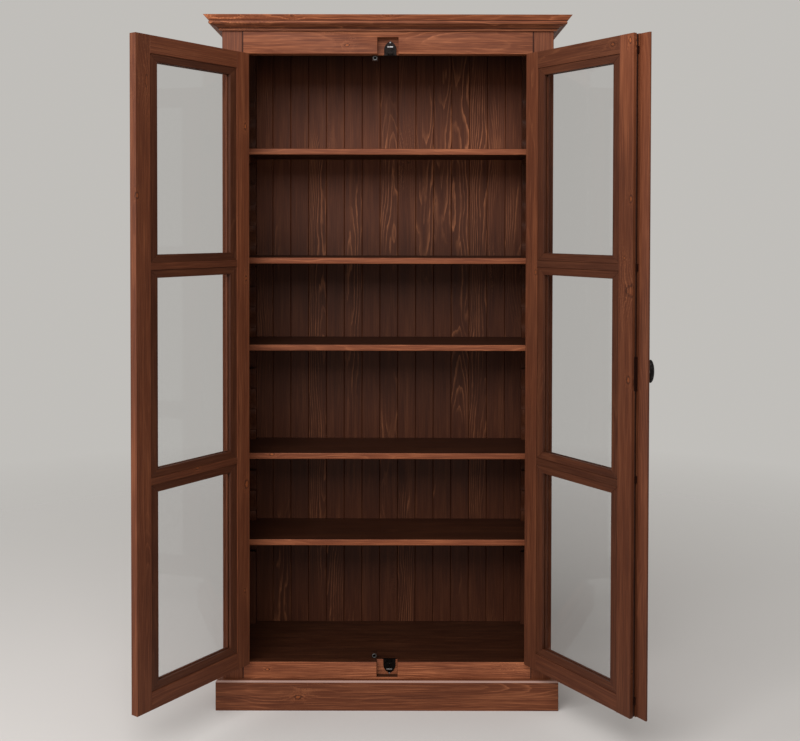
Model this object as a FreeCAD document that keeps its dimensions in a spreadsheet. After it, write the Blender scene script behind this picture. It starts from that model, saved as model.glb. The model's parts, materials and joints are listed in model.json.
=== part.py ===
"""Display cabinet: a pine carcass with five shelves on toothed racks, closed by two glazed doors.

Millimetres. X runs to the right, Y from the front of the face frame to the back, Z up from the floor.
The doors stand open by left_door_angle and right_door_angle. Each door is drawn closed, round its hinge
pin, and then turned.
"""
import FreeCAD, Part
import math
import os
import Sketcher

doc = FreeCAD.newDocument("DisplayCabinet")

SIZES = [
    ("overall_height", 1910, "floor to the top of the cornice"),
    ("carcass_width", 910, "across the outer faces of the posts"),
    ("carcass_depth", 340, "front of the posts to the back of the posts"),
    ("post_width", 55, "front post seen from the front"),
    ("front_post_depth", 45, "front post from front to back"),
    ("rear_post_depth", 55, "rear post from front to back"),
    ("side_thickness", 22, "rear posts and side rails"),
    ("ease", 1.5, "small bevel on the edges of posts, rails and stiles"),
    ("opening_bottom", 129, "top of the bottom rail"),
    ("top_rail_drop", 100, "underside of the top rail below the top of the cornice"),
    ("top_rail_thickness", 32, "front to back"),
    ("bottom_rail_thickness", 24, "front to back"),
    ("board_thickness", 18, "top board and bottom board"),
    ("bottom_board_drop", 4, "bottom board below the top of its rail"),
    ("plinth_height", 83, "plinth boards"),
    ("plinth_thickness", 18, "plinth boards stand proud by this much"),
    ("plinth_round", 5, "rounded top edge of the plinth"),
    ("cornice_height", 38, "moulding"),
    ("cornice_overhang", 45, "moulding beyond the posts"),
    ("cornice_fascia", 13, "flat upper band of the moulding"),
    ("cornice_edge", 4, "step back below the flat band"),
    ("cornice_step", 2, "height of the small steps in the moulding"),
    ("ovolo_width", 15, "rounded upper member of the moulding"),
    ("ovolo_height", 9, "rounded upper member of the moulding"),
    ("quirk_width", 3, "flat between the two curves of the moulding"),
    ("cove_width", 13, "hollow lower member of the moulding"),
    ("cove_height", 7, "hollow lower member of the moulding"),
    ("cornice_fillet", 8, "lowest step of the moulding from the face"),
    ("rail_below_plinth", 40, "bottom rails reach below the top of the plinth by this much"),
    ("side_rail_height", 80, "rails between the posts of a side"),
    ("side_middle_rail", 930, "lower edge of the middle side rail"),
    ("panel_thickness", 10, "side panels"),
    ("panel_setback", 6.5, "side panel behind the outer face of its frame"),
    ("groove_depth", 8, "groove that holds a panel edge"),
    ("groove_clearance", 0.4, "play of a panel edge in its groove"),
    ("back_recess", 18, "front of the back boards from the back of the posts"),
    ("back_board_thickness", 10, "back boards"),
    ("back_board_cover", 54.5, "width that each back board covers"),
    ("back_board_lap", 8, "back boards let into the rear posts"),
    ("tongue_length", 4, "tongue of a back board"),
    ("tongue_thickness", 3, "tongue of a back board"),
    ("tongue_play", 0.3, "play of a tongue in its groove"),
    ("board_bevel", 1.5, "bevel along the joints of the back boards"),
    ("shelf_thickness", 18, "shelves"),
    ("shelf_front", 98, "front edge of the shelves behind the face frame"),
    ("shelf_round", 3, "rounded front edges of the shelves"),
    ("shelf_play", 0.5, "play of the shelves between the sides and round the racks"),
    ("rack_thickness", 30, "toothed racks, side to side"),
    ("rack_depth", 28, "toothed racks, front to back"),
    ("ledge_base", 347, "lowest ledge of the racks"),
    ("ledge_top_gap", 181, "highest ledge of the racks below the top board"),
    ("ledge_count", 23, "ledges on each rack"),
    ("ledge_depth", 14, "depth of a ledge"),
    ("ledge_rise", 17, "upright part of a notch above its ledge"),
    ("ledge_slope", 26, "height of the slope above the upright part"),
    ("cleat_height", 15, "cleat that carries a shelf"),
    ("cleat_play", 0.4, "play of a cleat between the notches"),
    ("notch_of_shelf_one", 19, "ledges above the lowest one"),
    ("notch_of_shelf_two", 14, "ledges above the lowest one"),
    ("notch_of_shelf_three", 10, "ledges above the lowest one"),
    ("notch_of_shelf_four", 5, "ledges above the lowest one"),
    ("notch_of_shelf_five", 1, "ledges above the lowest one"),
    ("left_door_angle", 125.4, "how far the left door stands open"),
    ("right_door_angle", 124, "how far the right door stands open"),
    ("door_thickness", 22, "door frames"),
    ("door_side_gap", 1.5, "gap between a door and its post"),
    ("door_end_gap", 2, "gap above and below a door"),
    ("meeting_gap", 2, "gap between the closed doors"),
    ("stile_width", 71, "door stiles"),
    ("door_rail_height", 65, "top and bottom rails of a door"),
    ("middle_rail_height", 58, "rails between the panes"),
    ("rebate_width", 24, "rebate that holds the glass, in the stiles"),
    ("rail_rebate", 20, "rebate that holds the glass, in the rails"),
    ("glass_lip", 8, "wood in front of the glass"),
    ("glass_thickness", 4, "panes"),
    ("glass_play", 2, "play round each pane"),
    ("bead_sink", 2, "beads below the inside face of a door"),
    ("bead_slope", 1.5, "broken edge of a glazing bead"),
    ("hinge_height", 70, "butt hinges"),
    ("hinge_inset", 190, "middle of an outer hinge from the end of the door"),
    ("leaf_depth", 20, "hinge leaf from front to back"),
    ("leaf_thickness", 1.2, "hinge leaf"),
    ("knuckle_radius", 4, "hinge knuckles"),
    ("knuckle_clearance", 0.5, "knuckles in front of the door face"),
    ("knuckle_gap", 0.4, "gap between knuckles of one hinge"),
    ("pin_radius", 2, "hinge pins"),
    ("pin_play", 0.08, "radial play of a hinge pin"),
    ("pin_end", 4, "hinge pins below the top of their knuckles"),
    ("astragal_width", 49, "strip on the front of the right door"),
    ("astragal_overlap", 31, "strip beyond the edge of the right door"),
    ("astragal_thickness", 8, "strip on the front of the right door"),
    ("astragal_relief", 0.6, "strip clear of the closed left door"),
    ("astragal_round", 4, "rounded front edges of the strip"),
    ("knob_level", 978, "height of the knob above the floor"),
    ("knob_reach", 50, "middle of the knob in front of the strip"),
    ("knob_length", 58, "knob from tip to tip"),
    ("knob_radius", 9.8, "knob at its middle"),
    ("neck_radius", 6.5, "knob's neck"),
    ("knob_play", 0.2, "collar from the plate"),
    ("collar_radius", 9, "collar at the foot of the neck"),
    ("collar_length", 4, "collar at the foot of the neck"),
    ("spindle_radius", 3.5, "spindle between the knob and the lock"),
    ("spindle_play", 0.1, "radial play of the spindle"),
    ("spindle_room", 1, "wood clear of the spindle all round"),
    ("rose_length", 55, "plate under the knob"),
    ("rose_width", 24, "plate under the knob"),
    ("rose_thickness", 2.5, "plate under the knob"),
    ("rose_corner", 4, "corners of the plate under the knob"),
    ("rod_radius", 3.5, "lock rods"),
    ("rod_travel", 11, "way of a rod for a quarter turn of the knob"),
    ("rod_case_gap", 1, "round part of a rod from the lock case"),
    ("crank_height", 5, "arm of the lower rod below the pinion"),
    ("crank_gap", 2, "arm of the lower rod from the upper rod's bar"),
    ("rod_play", 0.1, "radial play of a rod in its guides"),
    ("rod_setback", 5.25, "middle of the rods from the edge of the door"),
    ("rod_depth", 7.5, "middle of the rods behind the door face"),
    ("rod_end_gap", 1.5, "drawn-in rod ends inside the door edge"),
    ("channel_width", 10, "channel for the rods in the door edge"),
    ("channel_depth", 10.5, "channel for the rods in the door edge"),
    ("guide_height", 18, "blocks that guide the rods"),
    ("guide_end_inset", 40, "outer guides from the ends of the door"),
    ("guide_lock_inset", 260, "inner guides from the knob"),
    ("lock_height", 83, "lock case"),
    ("lock_width", 31, "lock case from the door edge inwards"),
    ("lock_depth", 12.4, "lock case from front to back"),
    ("lock_wall", 1.6, "walls of the lock case"),
    ("lock_cheek", 3, "wood in front of the lock case"),
    ("lock_play", 0.3, "play of the lock case in its mortise"),
    ("pinion_radius", 7, "pitch circle of the pinion on the spindle"),
    ("pinion_play", 0.2, "pinion narrower than the bars at each side"),
    ("pinion_teeth", 14, "teeth of the pinion"),
    ("tooth_height", 0.8, "teeth beyond the pitch line"),
    ("tooth_depth", 1, "teeth below the pitch line"),
    ("pinion_tooth_foot", 1.65, "tooth of the pinion at its foot"),
    ("pinion_tooth_tip", 0.75, "tooth of the pinion at its tip"),
    ("bar_tooth_foot", 1.95, "tooth of a bar at its foot"),
    ("bar_tooth_tip", 0.65, "tooth of a bar at its tip"),
    ("bar_teeth", 8, "teeth of each bar"),
    ("rack_bar_width", 4, "toothed bars of the rods"),
    ("rack_bar_depth", 5, "toothed bars of the rods"),
    ("bar_play", 0.4, "play of a bar in the ends of the lock case"),
    ("pocket_width", 58, "recesses in the rails for the keepers"),
    ("pocket_height", 46, "recess in the top rail"),
    ("pocket_foot", 4, "wood under the recess in the bottom rail"),
    ("top_pocket_depth", 22, "recess in the top rail, front to back"),
    ("bottom_pocket_depth", 20, "recess in the bottom rail, front to back"),
    ("keeper_wall", 2, "keeper plates and cheeks"),
    ("keeper_width", 34, "foot of the keeper plates"),
    ("keeper_height", 38, "keeper plates"),
    ("keeper_bridge", 4.5, "height of the bridge that holds the rod"),
    ("keeper_lift", 1.5, "bridge from the edge of the rail"),
    ("keeper_play", 2, "play between a rod and the cheeks"),
    ("flange_width", 40, "flange of a keeper along the rail"),
    ("flange_thickness", 1.2, "flange of a keeper"),
    ("stop_offset", 36, "door stops left of the middle"),
    ("stop_width", 16, "door stops"),
    ("stop_depth", 14, "door stops, front to back"),
    ("stop_height", 15, "door stops"),
    ("buffer_radius", 6, "round buffers of the door stops"),
    ("buffer_length", 2.6, "round buffers of the door stops"),
    ("buffer_play", 0.6, "buffers behind the closed door"),
]

sheet = doc.addObject("Spreadsheet::Sheet", "Sizes")


class Size:
    """A value together with the sheet expression that gives it."""

    def __init__(self, value, text):
        self.value = float(value)
        self.text = text

    def __add__(self, other):
        other = as_size(other)
        return Size(self.value + other.value, f"({self.text} + {other.text})")

    def __sub__(self, other):
        other = as_size(other)
        return Size(self.value - other.value, f"({self.text} - {other.text})")

    def __mul__(self, other):
        other = as_size(other)
        return Size(self.value * other.value, f"({self.text} * {other.text})")

    def __truediv__(self, other):
        other = as_size(other)
        return Size(self.value / other.value, f"({self.text} / {other.text})")

    def __radd__(self, other):
        return as_size(other) + self

    def __rsub__(self, other):
        return as_size(other) - self

    def __rmul__(self, other):
        return as_size(other) * self

    def __neg__(self):
        return as_size(0) - self


def as_size(value):
    """A plain number as a Size; a Size stays as it is."""
    return value if isinstance(value, Size) else Size(value, repr(float(value)))


for row, (alias, value, meaning) in enumerate(SIZES, 1):
    sheet.set(f"A{row}", meaning)
    sheet.set(f"B{row}", str(value))
    sheet.setAlias(f"B{row}", alias)
doc.recompute()
S = {alias: Size(value, f"Sizes.{alias}") for alias, value, meaning in SIZES}

LEFT, RIGHT = -1, 1
CUT_PAST = 1
TOOTH_SINK = 0.5
OLIVE_STEPS = 6
PLANES = {"XY": ("XY_Plane", 1), "YZ": ("YZ_Plane", 1), "XZ": ("XZ_Plane", -1)}
nodes = []


def bind(thing, name, size):
    """Ties one property to the sheet."""
    thing.setExpression(name, as_size(size).text)


def node(thing):
    """Marks a finished piece, which gets a file of its own."""
    nodes.append(thing)
    return thing


def board(label, x, y, z):
    """A plain board between pairs of low and high faces."""
    box = doc.addObject("Part::Box", label)
    for name, (low, high) in zip(("Length", "Width", "Height"), (x, y, z)):
        bind(box, name, as_size(high) - low)
    for axis, (low, high) in zip("xyz", (x, y, z)):
        bind(box, f"Placement.Base.{axis}", low)
    return box


def new_body(label):
    """An empty body for one piece."""
    return doc.addObject("PartDesign::Body", label)


def new_sketch(body, plane, level, middle=(0, 0)):
    """A sketch on one of the body's own planes, moved to a level, with its origin at middle."""
    role, sign = PLANES[plane]
    origin = next(item for item in body.Origin.OriginFeatures if item.Role == role)
    sketch = body.newObject("Sketcher::SketchObject", f"{body.Name}_sketch")
    sketch.AttachmentSupport = (origin, "")
    sketch.MapMode = "FlatFace"
    bind(sketch, "AttachmentOffset.Base.x", middle[0])
    bind(sketch, "AttachmentOffset.Base.y", middle[1])
    bind(sketch, "AttachmentOffset.Base.z", sign * as_size(level))
    return sketch


def pin_point(sketch, edge, end, corner):
    """Fixes one end of an edge by two dimensions from the sketch's origin."""
    for kind, size in zip(("DistanceX", "DistanceY"), corner):
        size = as_size(size)
        index = sketch.addConstraint(Sketcher.Constraint(kind, -1, 1, edge, end, size.value))
        bind(sketch, f"Constraints[{index}]", size)


def place(corner):
    """A corner as a point of the sketch."""
    return FreeCAD.Vector(as_size(corner[0]).value, as_size(corner[1]).value, 0)


def arc_edge(start, crown, end):
    """An anticlockwise arc through three points, and whether it begins at start."""
    centre = Part.Arc(start, crown, end).toShape().Curve.Center
    along, across = end - start, crown - start
    onward = along.x * across.y - along.y * across.x < 0
    first, last = (start, end) if onward else (end, start)
    begin = math.atan2(first.y - centre.y, first.x - centre.x)
    finish = math.atan2(last.y - centre.y, last.x - centre.x)
    circle = Part.Circle(centre, FreeCAD.Vector(0, 0, 1), (start - centre).Length)
    return Part.ArcOfCircle(circle, begin, finish), onward


def outline(sketch, corners, bows=None):
    """A closed outline through corners; bows holds a point on each edge that is an arc."""
    bows = bows or {}
    first = sketch.GeometryCount
    ends = []
    for index, corner in enumerate(corners):
        start, end = place(corner), place(corners[(index + 1) % len(corners)])
        if index in bows:
            edge, onward = arc_edge(start, place(bows[index]), end)
        else:
            edge, onward = Part.LineSegment(start, end), True
        ends.append((1, 2) if onward else (2, 1))
        sketch.addGeometry(edge)
    for index, corner in enumerate(corners):
        after = (index + 1) % len(corners)
        near, far = ends[index]
        join = Sketcher.Constraint("Coincident", first + index, far, first + after, ends[after][0])
        sketch.addConstraint(join)
        pin_point(sketch, first + index, near, corner)
        if index in bows:
            crown = sketch.addGeometry(Part.Point(place(bows[index])), True)
            sketch.addConstraint(Sketcher.Constraint("PointOnObject", crown, 1, first + index))
            pin_point(sketch, crown, 1, bows[index])


def ring(sketch, centre, radius):
    """A full circle."""
    radius = as_size(radius)
    edge = sketch.addGeometry(Part.Circle(place(centre), FreeCAD.Vector(0, 0, 1), radius.value))
    pin_point(sketch, edge, 3, centre)
    held = sketch.addConstraint(Sketcher.Constraint("Radius", edge, radius.value))
    bind(sketch, f"Constraints[{held}]", radius)


def grow(body, sketch, plane, low, high):
    """Pads a sketch that lies at low up to high."""
    pad = body.newObject("PartDesign::Pad", f"{body.Name}_pad")
    pad.Profile = sketch
    bind(pad, "Length", as_size(high) - low)
    pad.Reversed = PLANES[plane][1] < 0
    sketch.Visibility = False
    return pad


def cut(body, sketch, plane, low, high):
    """Pockets a sketch that lies at low up to high, and makes sure that it cuts."""
    doc.recompute()
    before = body.Shape.Volume
    pocket = body.newObject("PartDesign::Pocket", f"{body.Name}_pocket")
    pocket.Profile = sketch
    bind(pocket, "Length", as_size(high) - low)
    pocket.Reversed = PLANES[plane][1] > 0
    sketch.Visibility = False
    doc.recompute()
    if not body.Shape.Volume < before:
        raise ValueError(f"{body.Label}: a pocket cuts nothing")
    return pocket


def pad(body, plane, corners, low, high, bows=None):
    """Pads an outline from low to high."""
    sketch = new_sketch(body, plane, low)
    outline(sketch, corners, bows)
    return grow(body, sketch, plane, low, high)


def pocket(body, plane, corners, low, high):
    """Cuts an outline from low to high."""
    sketch = new_sketch(body, plane, low)
    outline(sketch, corners)
    return cut(body, sketch, plane, low, high)


def rod(body, plane, centre, radius, low, high):
    """Pads a circle from low to high."""
    sketch = new_sketch(body, plane, low)
    ring(sketch, centre, radius)
    return grow(body, sketch, plane, low, high)


def bore(body, plane, centre, radius, low, high):
    """Cuts a round hole from low to high."""
    sketch = new_sketch(body, plane, low)
    ring(sketch, centre, radius)
    return cut(body, sketch, plane, low, high)


def dress(body, kind, size, wanted):
    """Rounds or bevels the edges whose middle and direction pass a test."""
    doc.recompute()
    base = body.Tip
    names = []
    for index, edge in enumerate(base.Shape.Edges, 1):
        ends = edge.Vertexes
        if len(ends) == 2 and wanted(edge.CenterOfMass, ends[1].Point - ends[0].Point):
            names.append(f"Edge{index}")
    if not names:
        raise ValueError(f"{body.Label}: no edge to dress")
    feature = body.newObject(f"PartDesign::{kind}", f"{body.Name}_{kind.lower()}")
    feature.Base = (base, names)
    bind(feature, "Radius" if kind == "Fillet" else "Size", size)
    return feature


def near(first, second):
    """Two places along one axis are the same."""
    return abs(first - as_size(second).value) < 0.01


def rectangle(x, y):
    """The corners of a rectangle between two pairs of limits."""
    return [(x[0], y[0]), (x[1], y[0]), (x[1], y[1]), (x[0], y[1])]


def group(label, pieces):
    """Like pieces that share one file as separate solids."""
    compound = doc.addObject("Part::Compound", label)
    compound.Links = pieces
    return compound


def flank(side, inner, outer):
    """Limits along X of a piece on one side, from its distances to the middle."""
    return (inner, outer) if side == RIGHT else (-outer, -inner)


def side_name(side):
    """The word for a side, as it is used in labels."""
    return "left" if side == LEFT else "right"


opening_top = S["overall_height"] - S["top_rail_drop"]
back_face = S["carcass_depth"] - S["back_recess"]
half_width = S["carcass_width"] / 2
half_opening = half_width - S["post_width"]
wall_face = half_width - S["side_thickness"]
top_board_low = S["overall_height"] - S["board_thickness"]
bottom_board_high = S["opening_bottom"] - S["bottom_board_drop"]
cornice_low = S["overall_height"] - S["cornice_height"]
rear_post_front = S["carcass_depth"] - S["rear_post_depth"]
rack_face = wall_face - S["rack_thickness"]
rail_foot = S["plinth_height"] - S["rail_below_plinth"]
ledge_pitch = (top_board_low - S["ledge_top_gap"] - S["ledge_base"]) / (S["ledge_count"] - 1)

groove_near = half_width - S["panel_setback"] + S["groove_clearance"]
groove_far = half_width - S["panel_setback"] - S["panel_thickness"] - S["groove_clearance"]

pivot_x = half_opening - S["door_side_gap"] / 2
pivot_y = -(S["knuckle_radius"] + S["knuckle_clearance"])
door_low = S["opening_bottom"] + S["door_end_gap"]
door_high = opening_top - S["door_end_gap"]
door_height = door_high - door_low
hinge_edge = S["door_side_gap"] / 2
meeting_edge = pivot_x - S["meeting_gap"] / 2
door_front = S["knuckle_radius"] + S["knuckle_clearance"]
door_back = door_front + S["door_thickness"]
bead_back = door_back - S["bead_sink"]
hinge_levels = (door_low + S["hinge_inset"], door_low + door_height / 2, door_high - S["hinge_inset"])

rod_place = meeting_edge - S["rod_setback"]
rod_line = door_front + S["rod_depth"]
pinion_place = rod_place - S["rack_bar_width"] / 2 - S["tooth_depth"] - S["pinion_radius"]
spindle_hole = S["spindle_radius"] + S["spindle_room"]
bar_front = rod_line - S["rack_bar_depth"] / 2
bar_back = rod_line + S["rack_bar_depth"] / 2
lock_low = S["knob_level"] - S["lock_height"] / 2
lock_high = S["knob_level"] + S["lock_height"] / 2
lock_inner = meeting_edge - S["lock_width"]
lock_front = door_front + S["lock_cheek"]
lock_back = lock_front + S["lock_depth"]


def make_front_post(side):
    """Front post with the groove for the side panels and the seats of the hinge leaves."""
    body = new_body(f"post_front_{side_name(side)}")
    depth, groove, ease = S["front_post_depth"], S["groove_depth"], S["ease"]
    corners = [
        (half_width - ease, 0), (half_width, ease), (half_width, depth), (groove_near, depth),
        (groove_near, depth - groove), (groove_far, depth - groove), (groove_far, depth),
        (half_opening, depth), (half_opening, ease), (half_opening + ease, 0),
    ]
    pad(body, "XY", [(side * x, y) for x, y in corners], 0, top_board_low)
    for level in hinge_levels:
        seat = rectangle((-CUT_PAST, S["leaf_depth"]),
                         (level - S["hinge_height"] / 2, level + S["hinge_height"] / 2))
        low, high = flank(side, half_opening, half_opening + S["leaf_thickness"])
        pocket(body, "YZ", seat, low, high)
    return node(body)


def make_rear_post(side):
    """Rear post with the groove for the side panels and the rebate for the back boards."""
    body = new_body(f"post_rear_{side_name(side)}")
    front, groove, back = rear_post_front, S["groove_depth"], S["carcass_depth"]
    lap = wall_face + S["back_board_lap"]
    corners = [
        (half_width, front), (groove_near, front), (groove_near, front + groove),
        (groove_far, front + groove), (groove_far, front), (wall_face, front),
        (wall_face, back_face), (lap, back_face), (lap, back), (half_width, back),
    ]
    pad(body, "XY", [(side * x, y) for x, y in corners], 0, top_board_low)
    return node(body)


def rail_body(label, low, high, thickness):
    """A front rail between the posts, with eased front edges."""
    ease = S["ease"]
    corners = [(0, low + ease), (ease, low), (thickness, low), (thickness, high), (0, high)]
    body = new_body(label)
    pad(body, "YZ", corners, -half_opening, half_opening)
    return body


def make_front_rails():
    """Top and bottom rails of the face frame, each with a recess for a lock keeper."""
    half = S["pocket_width"] / 2
    top = rail_body("rail_top_front", opening_top, top_board_low, S["top_rail_thickness"])
    recess = rectangle((-half, half), (opening_top - CUT_PAST, opening_top + S["pocket_height"]))
    pocket(top, "XZ", recess, 0, S["top_pocket_depth"])
    bottom = rail_body("rail_bottom_front", rail_foot, S["opening_bottom"], S["bottom_rail_thickness"])
    foot = S["plinth_height"] + S["pocket_foot"]
    recess = rectangle((-half, half), (foot, S["opening_bottom"] + CUT_PAST))
    pocket(bottom, "XZ", recess, 0, S["bottom_pocket_depth"])
    return node(top), node(bottom)


def make_side(side):
    """Rails and panels between the posts of one side."""
    front, back = S["front_post_depth"], rear_post_front
    height, groove = S["side_rail_height"], S["groove_depth"]
    levels = (rail_foot, S["side_middle_rail"], top_board_low - height)
    tops = (S["plinth_height"] + height, S["side_middle_rail"] + height, top_board_low)
    rails = []
    for index, (low, high) in enumerate(zip(levels, tops)):
        upper = [(groove_far, high), (groove_far, high - groove), (groove_near, high - groove),
                 (groove_near, high)]
        lower = [(groove_near, low), (groove_near, low + groove), (groove_far, low + groove),
                 (groove_far, low)]
        corners = [(wall_face, low), (wall_face, high)]
        corners += upper if index < 2 else []
        corners += [(half_width, high), (half_width, low)]
        corners += lower if index > 0 else []
        rail = new_body(f"side_rail_{side_name(side)}_{index}")
        pad(rail, "XZ", [(side * x, z) for x, z in corners], front, back)
        rails.append(rail)
    node(group(f"side_rails_{side_name(side)}", rails))
    play = S["groove_clearance"]
    across = flank(side, groove_far + play, groove_near - play)
    along = (front - groove + play, back + groove - play)
    panels = []
    for index in range(2):
        reach = (tops[index] - groove + play, levels[index + 1] + groove - play)
        panels.append(board(f"side_panel_{side_name(side)}_{index}", across, along, reach))
    node(group(f"side_panels_{side_name(side)}", panels))


def make_back():
    """Tongued and grooved boards across the back, let into the rear posts."""
    front, back = back_face, back_face + S["back_board_thickness"]
    cover, bevel, play = S["back_board_cover"], S["board_bevel"], S["tongue_play"]
    edge = wall_face + S["back_board_lap"] - play
    middle = (front + back) / 2
    thin = S["tongue_thickness"] / 2
    whole = int((edge.value - cover.value / 2) // cover.value)
    boards = []
    for index in range(-whole - 1, whole + 2):
        low = (index - 0.5) * cover + play / 2
        high = (index + 0.5) * cover - play / 2
        first, last = index < -whole, index > whole
        low = -edge if first else low
        high = edge if last else high
        rear = middle + thin + play
        corners = [(low, back), (low, rear), (low + S["tongue_length"] + play, rear),
                   (low + S["tongue_length"] + play, middle - thin - play), (low, middle - thin - play),
                   (low, front + bevel), (low + bevel, front)]
        if first:
            corners = [(low, back), (low, front)]
        if last:
            corners += [(high, front), (high, back)]
        else:
            corners += [(high - bevel, front), (high, front + bevel), (high, middle - thin),
                        (high + S["tongue_length"], middle - thin), (high + S["tongue_length"], middle + thin),
                        (high, middle + thin), (high, back)]
        plank = new_body(f"back_board_{index + whole + 1}")
        pad(plank, "XY", corners, S["plinth_height"], top_board_low)
        boards.append(plank)
    node(group("back_boards", boards))


def make_top_and_bottom():
    """Top board over the posts, and the bottom board notched round the front posts."""
    top = (top_board_low, S["overall_height"])
    node(board("top_board", (-half_width, half_width), (0, S["carcass_depth"]), top))
    front, back = S["bottom_rail_thickness"], back_face
    body = new_body("bottom_board")
    right = [(half_opening, front), (half_opening, S["front_post_depth"]),
             (wall_face, S["front_post_depth"]), (wall_face, back)]
    left = [(-x, y) for x, y in reversed(right)]
    pad(body, "XY", right + left, bottom_board_high - S["board_thickness"], bottom_board_high)
    node(body)


def make_plinth():
    """Mitred plinth boards on the front and both sides, with a rounded top edge."""
    proud, height = S["plinth_thickness"], S["plinth_height"]
    edge, back = half_width + proud, S["carcass_depth"]
    front = new_body("plinth_front")
    pad(front, "XY", [(-edge, -proud), (edge, -proud), (half_width, 0), (-half_width, 0)], 0, height)
    dress(front, "Fillet", S["plinth_round"], lambda at, way: near(at.z, height) and near(at.y, -proud))
    node(front)
    for side in (LEFT, RIGHT):
        body = new_body(f"plinth_{side_name(side)}")
        corners = [(half_width, 0), (edge, -proud), (edge, back), (half_width, back)]
        pad(body, "XY", [(side * x, y) for x, y in corners], 0, height)
        dress(body, "Fillet", S["plinth_round"],
              lambda at, way: near(at.z, height) and near(abs(at.x), edge))
        node(body)


def cornice_profile():
    """The moulding as distance from the face against height, and a point on each of its two curves."""
    top, low = S["overall_height"], cornice_low
    out, fascia, fillet = S["cornice_overhang"], S["cornice_fascia"], S["cornice_fillet"]
    ovolo = (out - S["cornice_edge"], top - fascia - S["cornice_step"])
    quirk = (ovolo[0] - S["ovolo_width"], ovolo[1] - S["ovolo_height"])
    cove = (quirk[0] - S["quirk_width"], quirk[1] - S["cornice_step"])
    foot = (cove[0] - S["cove_width"], cove[1] - S["cove_height"])
    corners = [
        (0, top), (out, top), (out, top - fascia), ovolo, quirk, (cove[0], quirk[1]), cove, foot,
        (fillet, foot[1]), (fillet, low), (0, low),
    ]
    ovolo_crown = (ovolo[0] - 0.41 * S["ovolo_width"], ovolo[1] - 0.73 * S["ovolo_height"])
    cove_crown = (cove[0] - 0.57 * S["cove_width"], cove[1] - 0.26 * S["cove_height"])
    return corners, {3: ovolo_crown, 6: cove_crown}


def on_moulding(place_of, corners, bows):
    """The moulding's corners and curves, laid out by place_of."""
    return [place_of(*corner) for corner in corners], {index: place_of(*at) for index, at in bows.items()}


def make_cornice():
    """Mitred cornice mouldings on the front and both sides."""
    profile = cornice_profile()
    out, back = S["cornice_overhang"], S["carcass_depth"]
    edge = half_width + out
    beyond = edge + CUT_PAST
    top = S["overall_height"]
    front = new_body("cornice_front")
    corners, bows = on_moulding(lambda reach, level: (-reach, level), *profile)
    pad(front, "YZ", corners, -edge, edge, bows)
    for side in (LEFT, RIGHT):
        waste = [(side * half_width, 0), (side * beyond, half_width - beyond), (side * beyond, 0)]
        pocket(front, "XY", waste, cornice_low - CUT_PAST, top + CUT_PAST)
    node(front)
    for side in (LEFT, RIGHT):
        body = new_body(f"cornice_{side_name(side)}")
        corners, bows = on_moulding(lambda reach, level: (side * (half_width + reach), level), *profile)
        pad(body, "XZ", corners, -out, back, bows)
        waste = [(side * half_width, 0), (side * beyond, half_width - beyond),
                 (side * half_width, half_width - beyond)]
        pocket(body, "XY", waste, cornice_low - CUT_PAST, top + CUT_PAST)
        node(body)


def make_rack(side, end):
    """Toothed rack for the shelves; its notches face the other rack of the same side."""
    front = end == "front"
    body = new_body(f"rack_{end}_{side_name(side)}")
    low = S["front_post_depth"] if front else back_face - S["rack_depth"]
    high = low + S["rack_depth"]
    across = flank(side, rack_face, wall_face)
    pad(body, "YZ", rectangle((low, high), (bottom_board_high, top_board_low)), across[0], across[1])
    face, inward = (high, -1) if front else (low, 1)
    ledge, rise, slope = S["ledge_base"], S["ledge_rise"], S["ledge_slope"]
    root = face + inward * S["ledge_depth"]
    outside = face - inward * CUT_PAST
    corners = [(outside, ledge), (root, ledge), (root, ledge + rise), (face, ledge + rise + slope),
               (outside, ledge + rise + slope)]
    notch = pocket(body, "YZ", corners, across[0], across[1])
    repeat(body, "LinearPattern", notch, "V_Axis", ledge_pitch * (S["ledge_count"] - 1), S["ledge_count"])
    node(body)


def make_shelves():
    """Five shelves, notched round the rear racks, and the cleats that carry them."""
    levels = []
    for word in ("one", "two", "three", "four", "five"):
        levels.append(S["ledge_base"] + S[f"notch_of_shelf_{word}"] * ledge_pitch + S["cleat_height"])
    play, front, back = S["shelf_play"], S["shelf_front"], back_face - S["shelf_play"]
    rack_front = back_face - S["rack_depth"] - play
    for index, level in enumerate(levels, 1):
        body = new_body(f"shelf_{index}")
        right = [(wall_face - play, front), (wall_face - play, rack_front), (rack_face - play, rack_front),
                 (rack_face - play, back)]
        left = [(-x, y) for x, y in reversed(right)]
        pad(body, "XY", right + left, level, level + S["shelf_thickness"])
        dress(body, "Fillet", S["shelf_round"], lambda at, way: near(at.y, front) and abs(way.x) > 1)
        node(body)
    root_front = S["front_post_depth"] + S["rack_depth"] - S["ledge_depth"] + S["cleat_play"]
    root_back = back_face - S["rack_depth"] + S["ledge_depth"] - S["cleat_play"]
    for side in (LEFT, RIGHT):
        across = flank(side, rack_face, wall_face - play)
        cleats = [board(f"cleat_{side_name(side)}_{index}", across, (root_front, root_back),
                        (level - S["cleat_height"], level)) for index, level in enumerate(levels, 1)]
        node(group(f"cleats_{side_name(side)}", cleats))


def hang(body, side):
    """Turns a piece that is drawn round the hinge pin of a closed door to where the open door stands."""
    bind(body, "Placement.Base.x", side * pivot_x)
    bind(body, "Placement.Base.y", pivot_y)
    angle = S["left_door_angle"] if side == LEFT else S["right_door_angle"]
    bind(body, "Placement.Rotation.Angle", side * angle)
    return body


def door_body(label, side):
    """A body that hangs on one door."""
    return hang(new_body(label), side)


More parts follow.
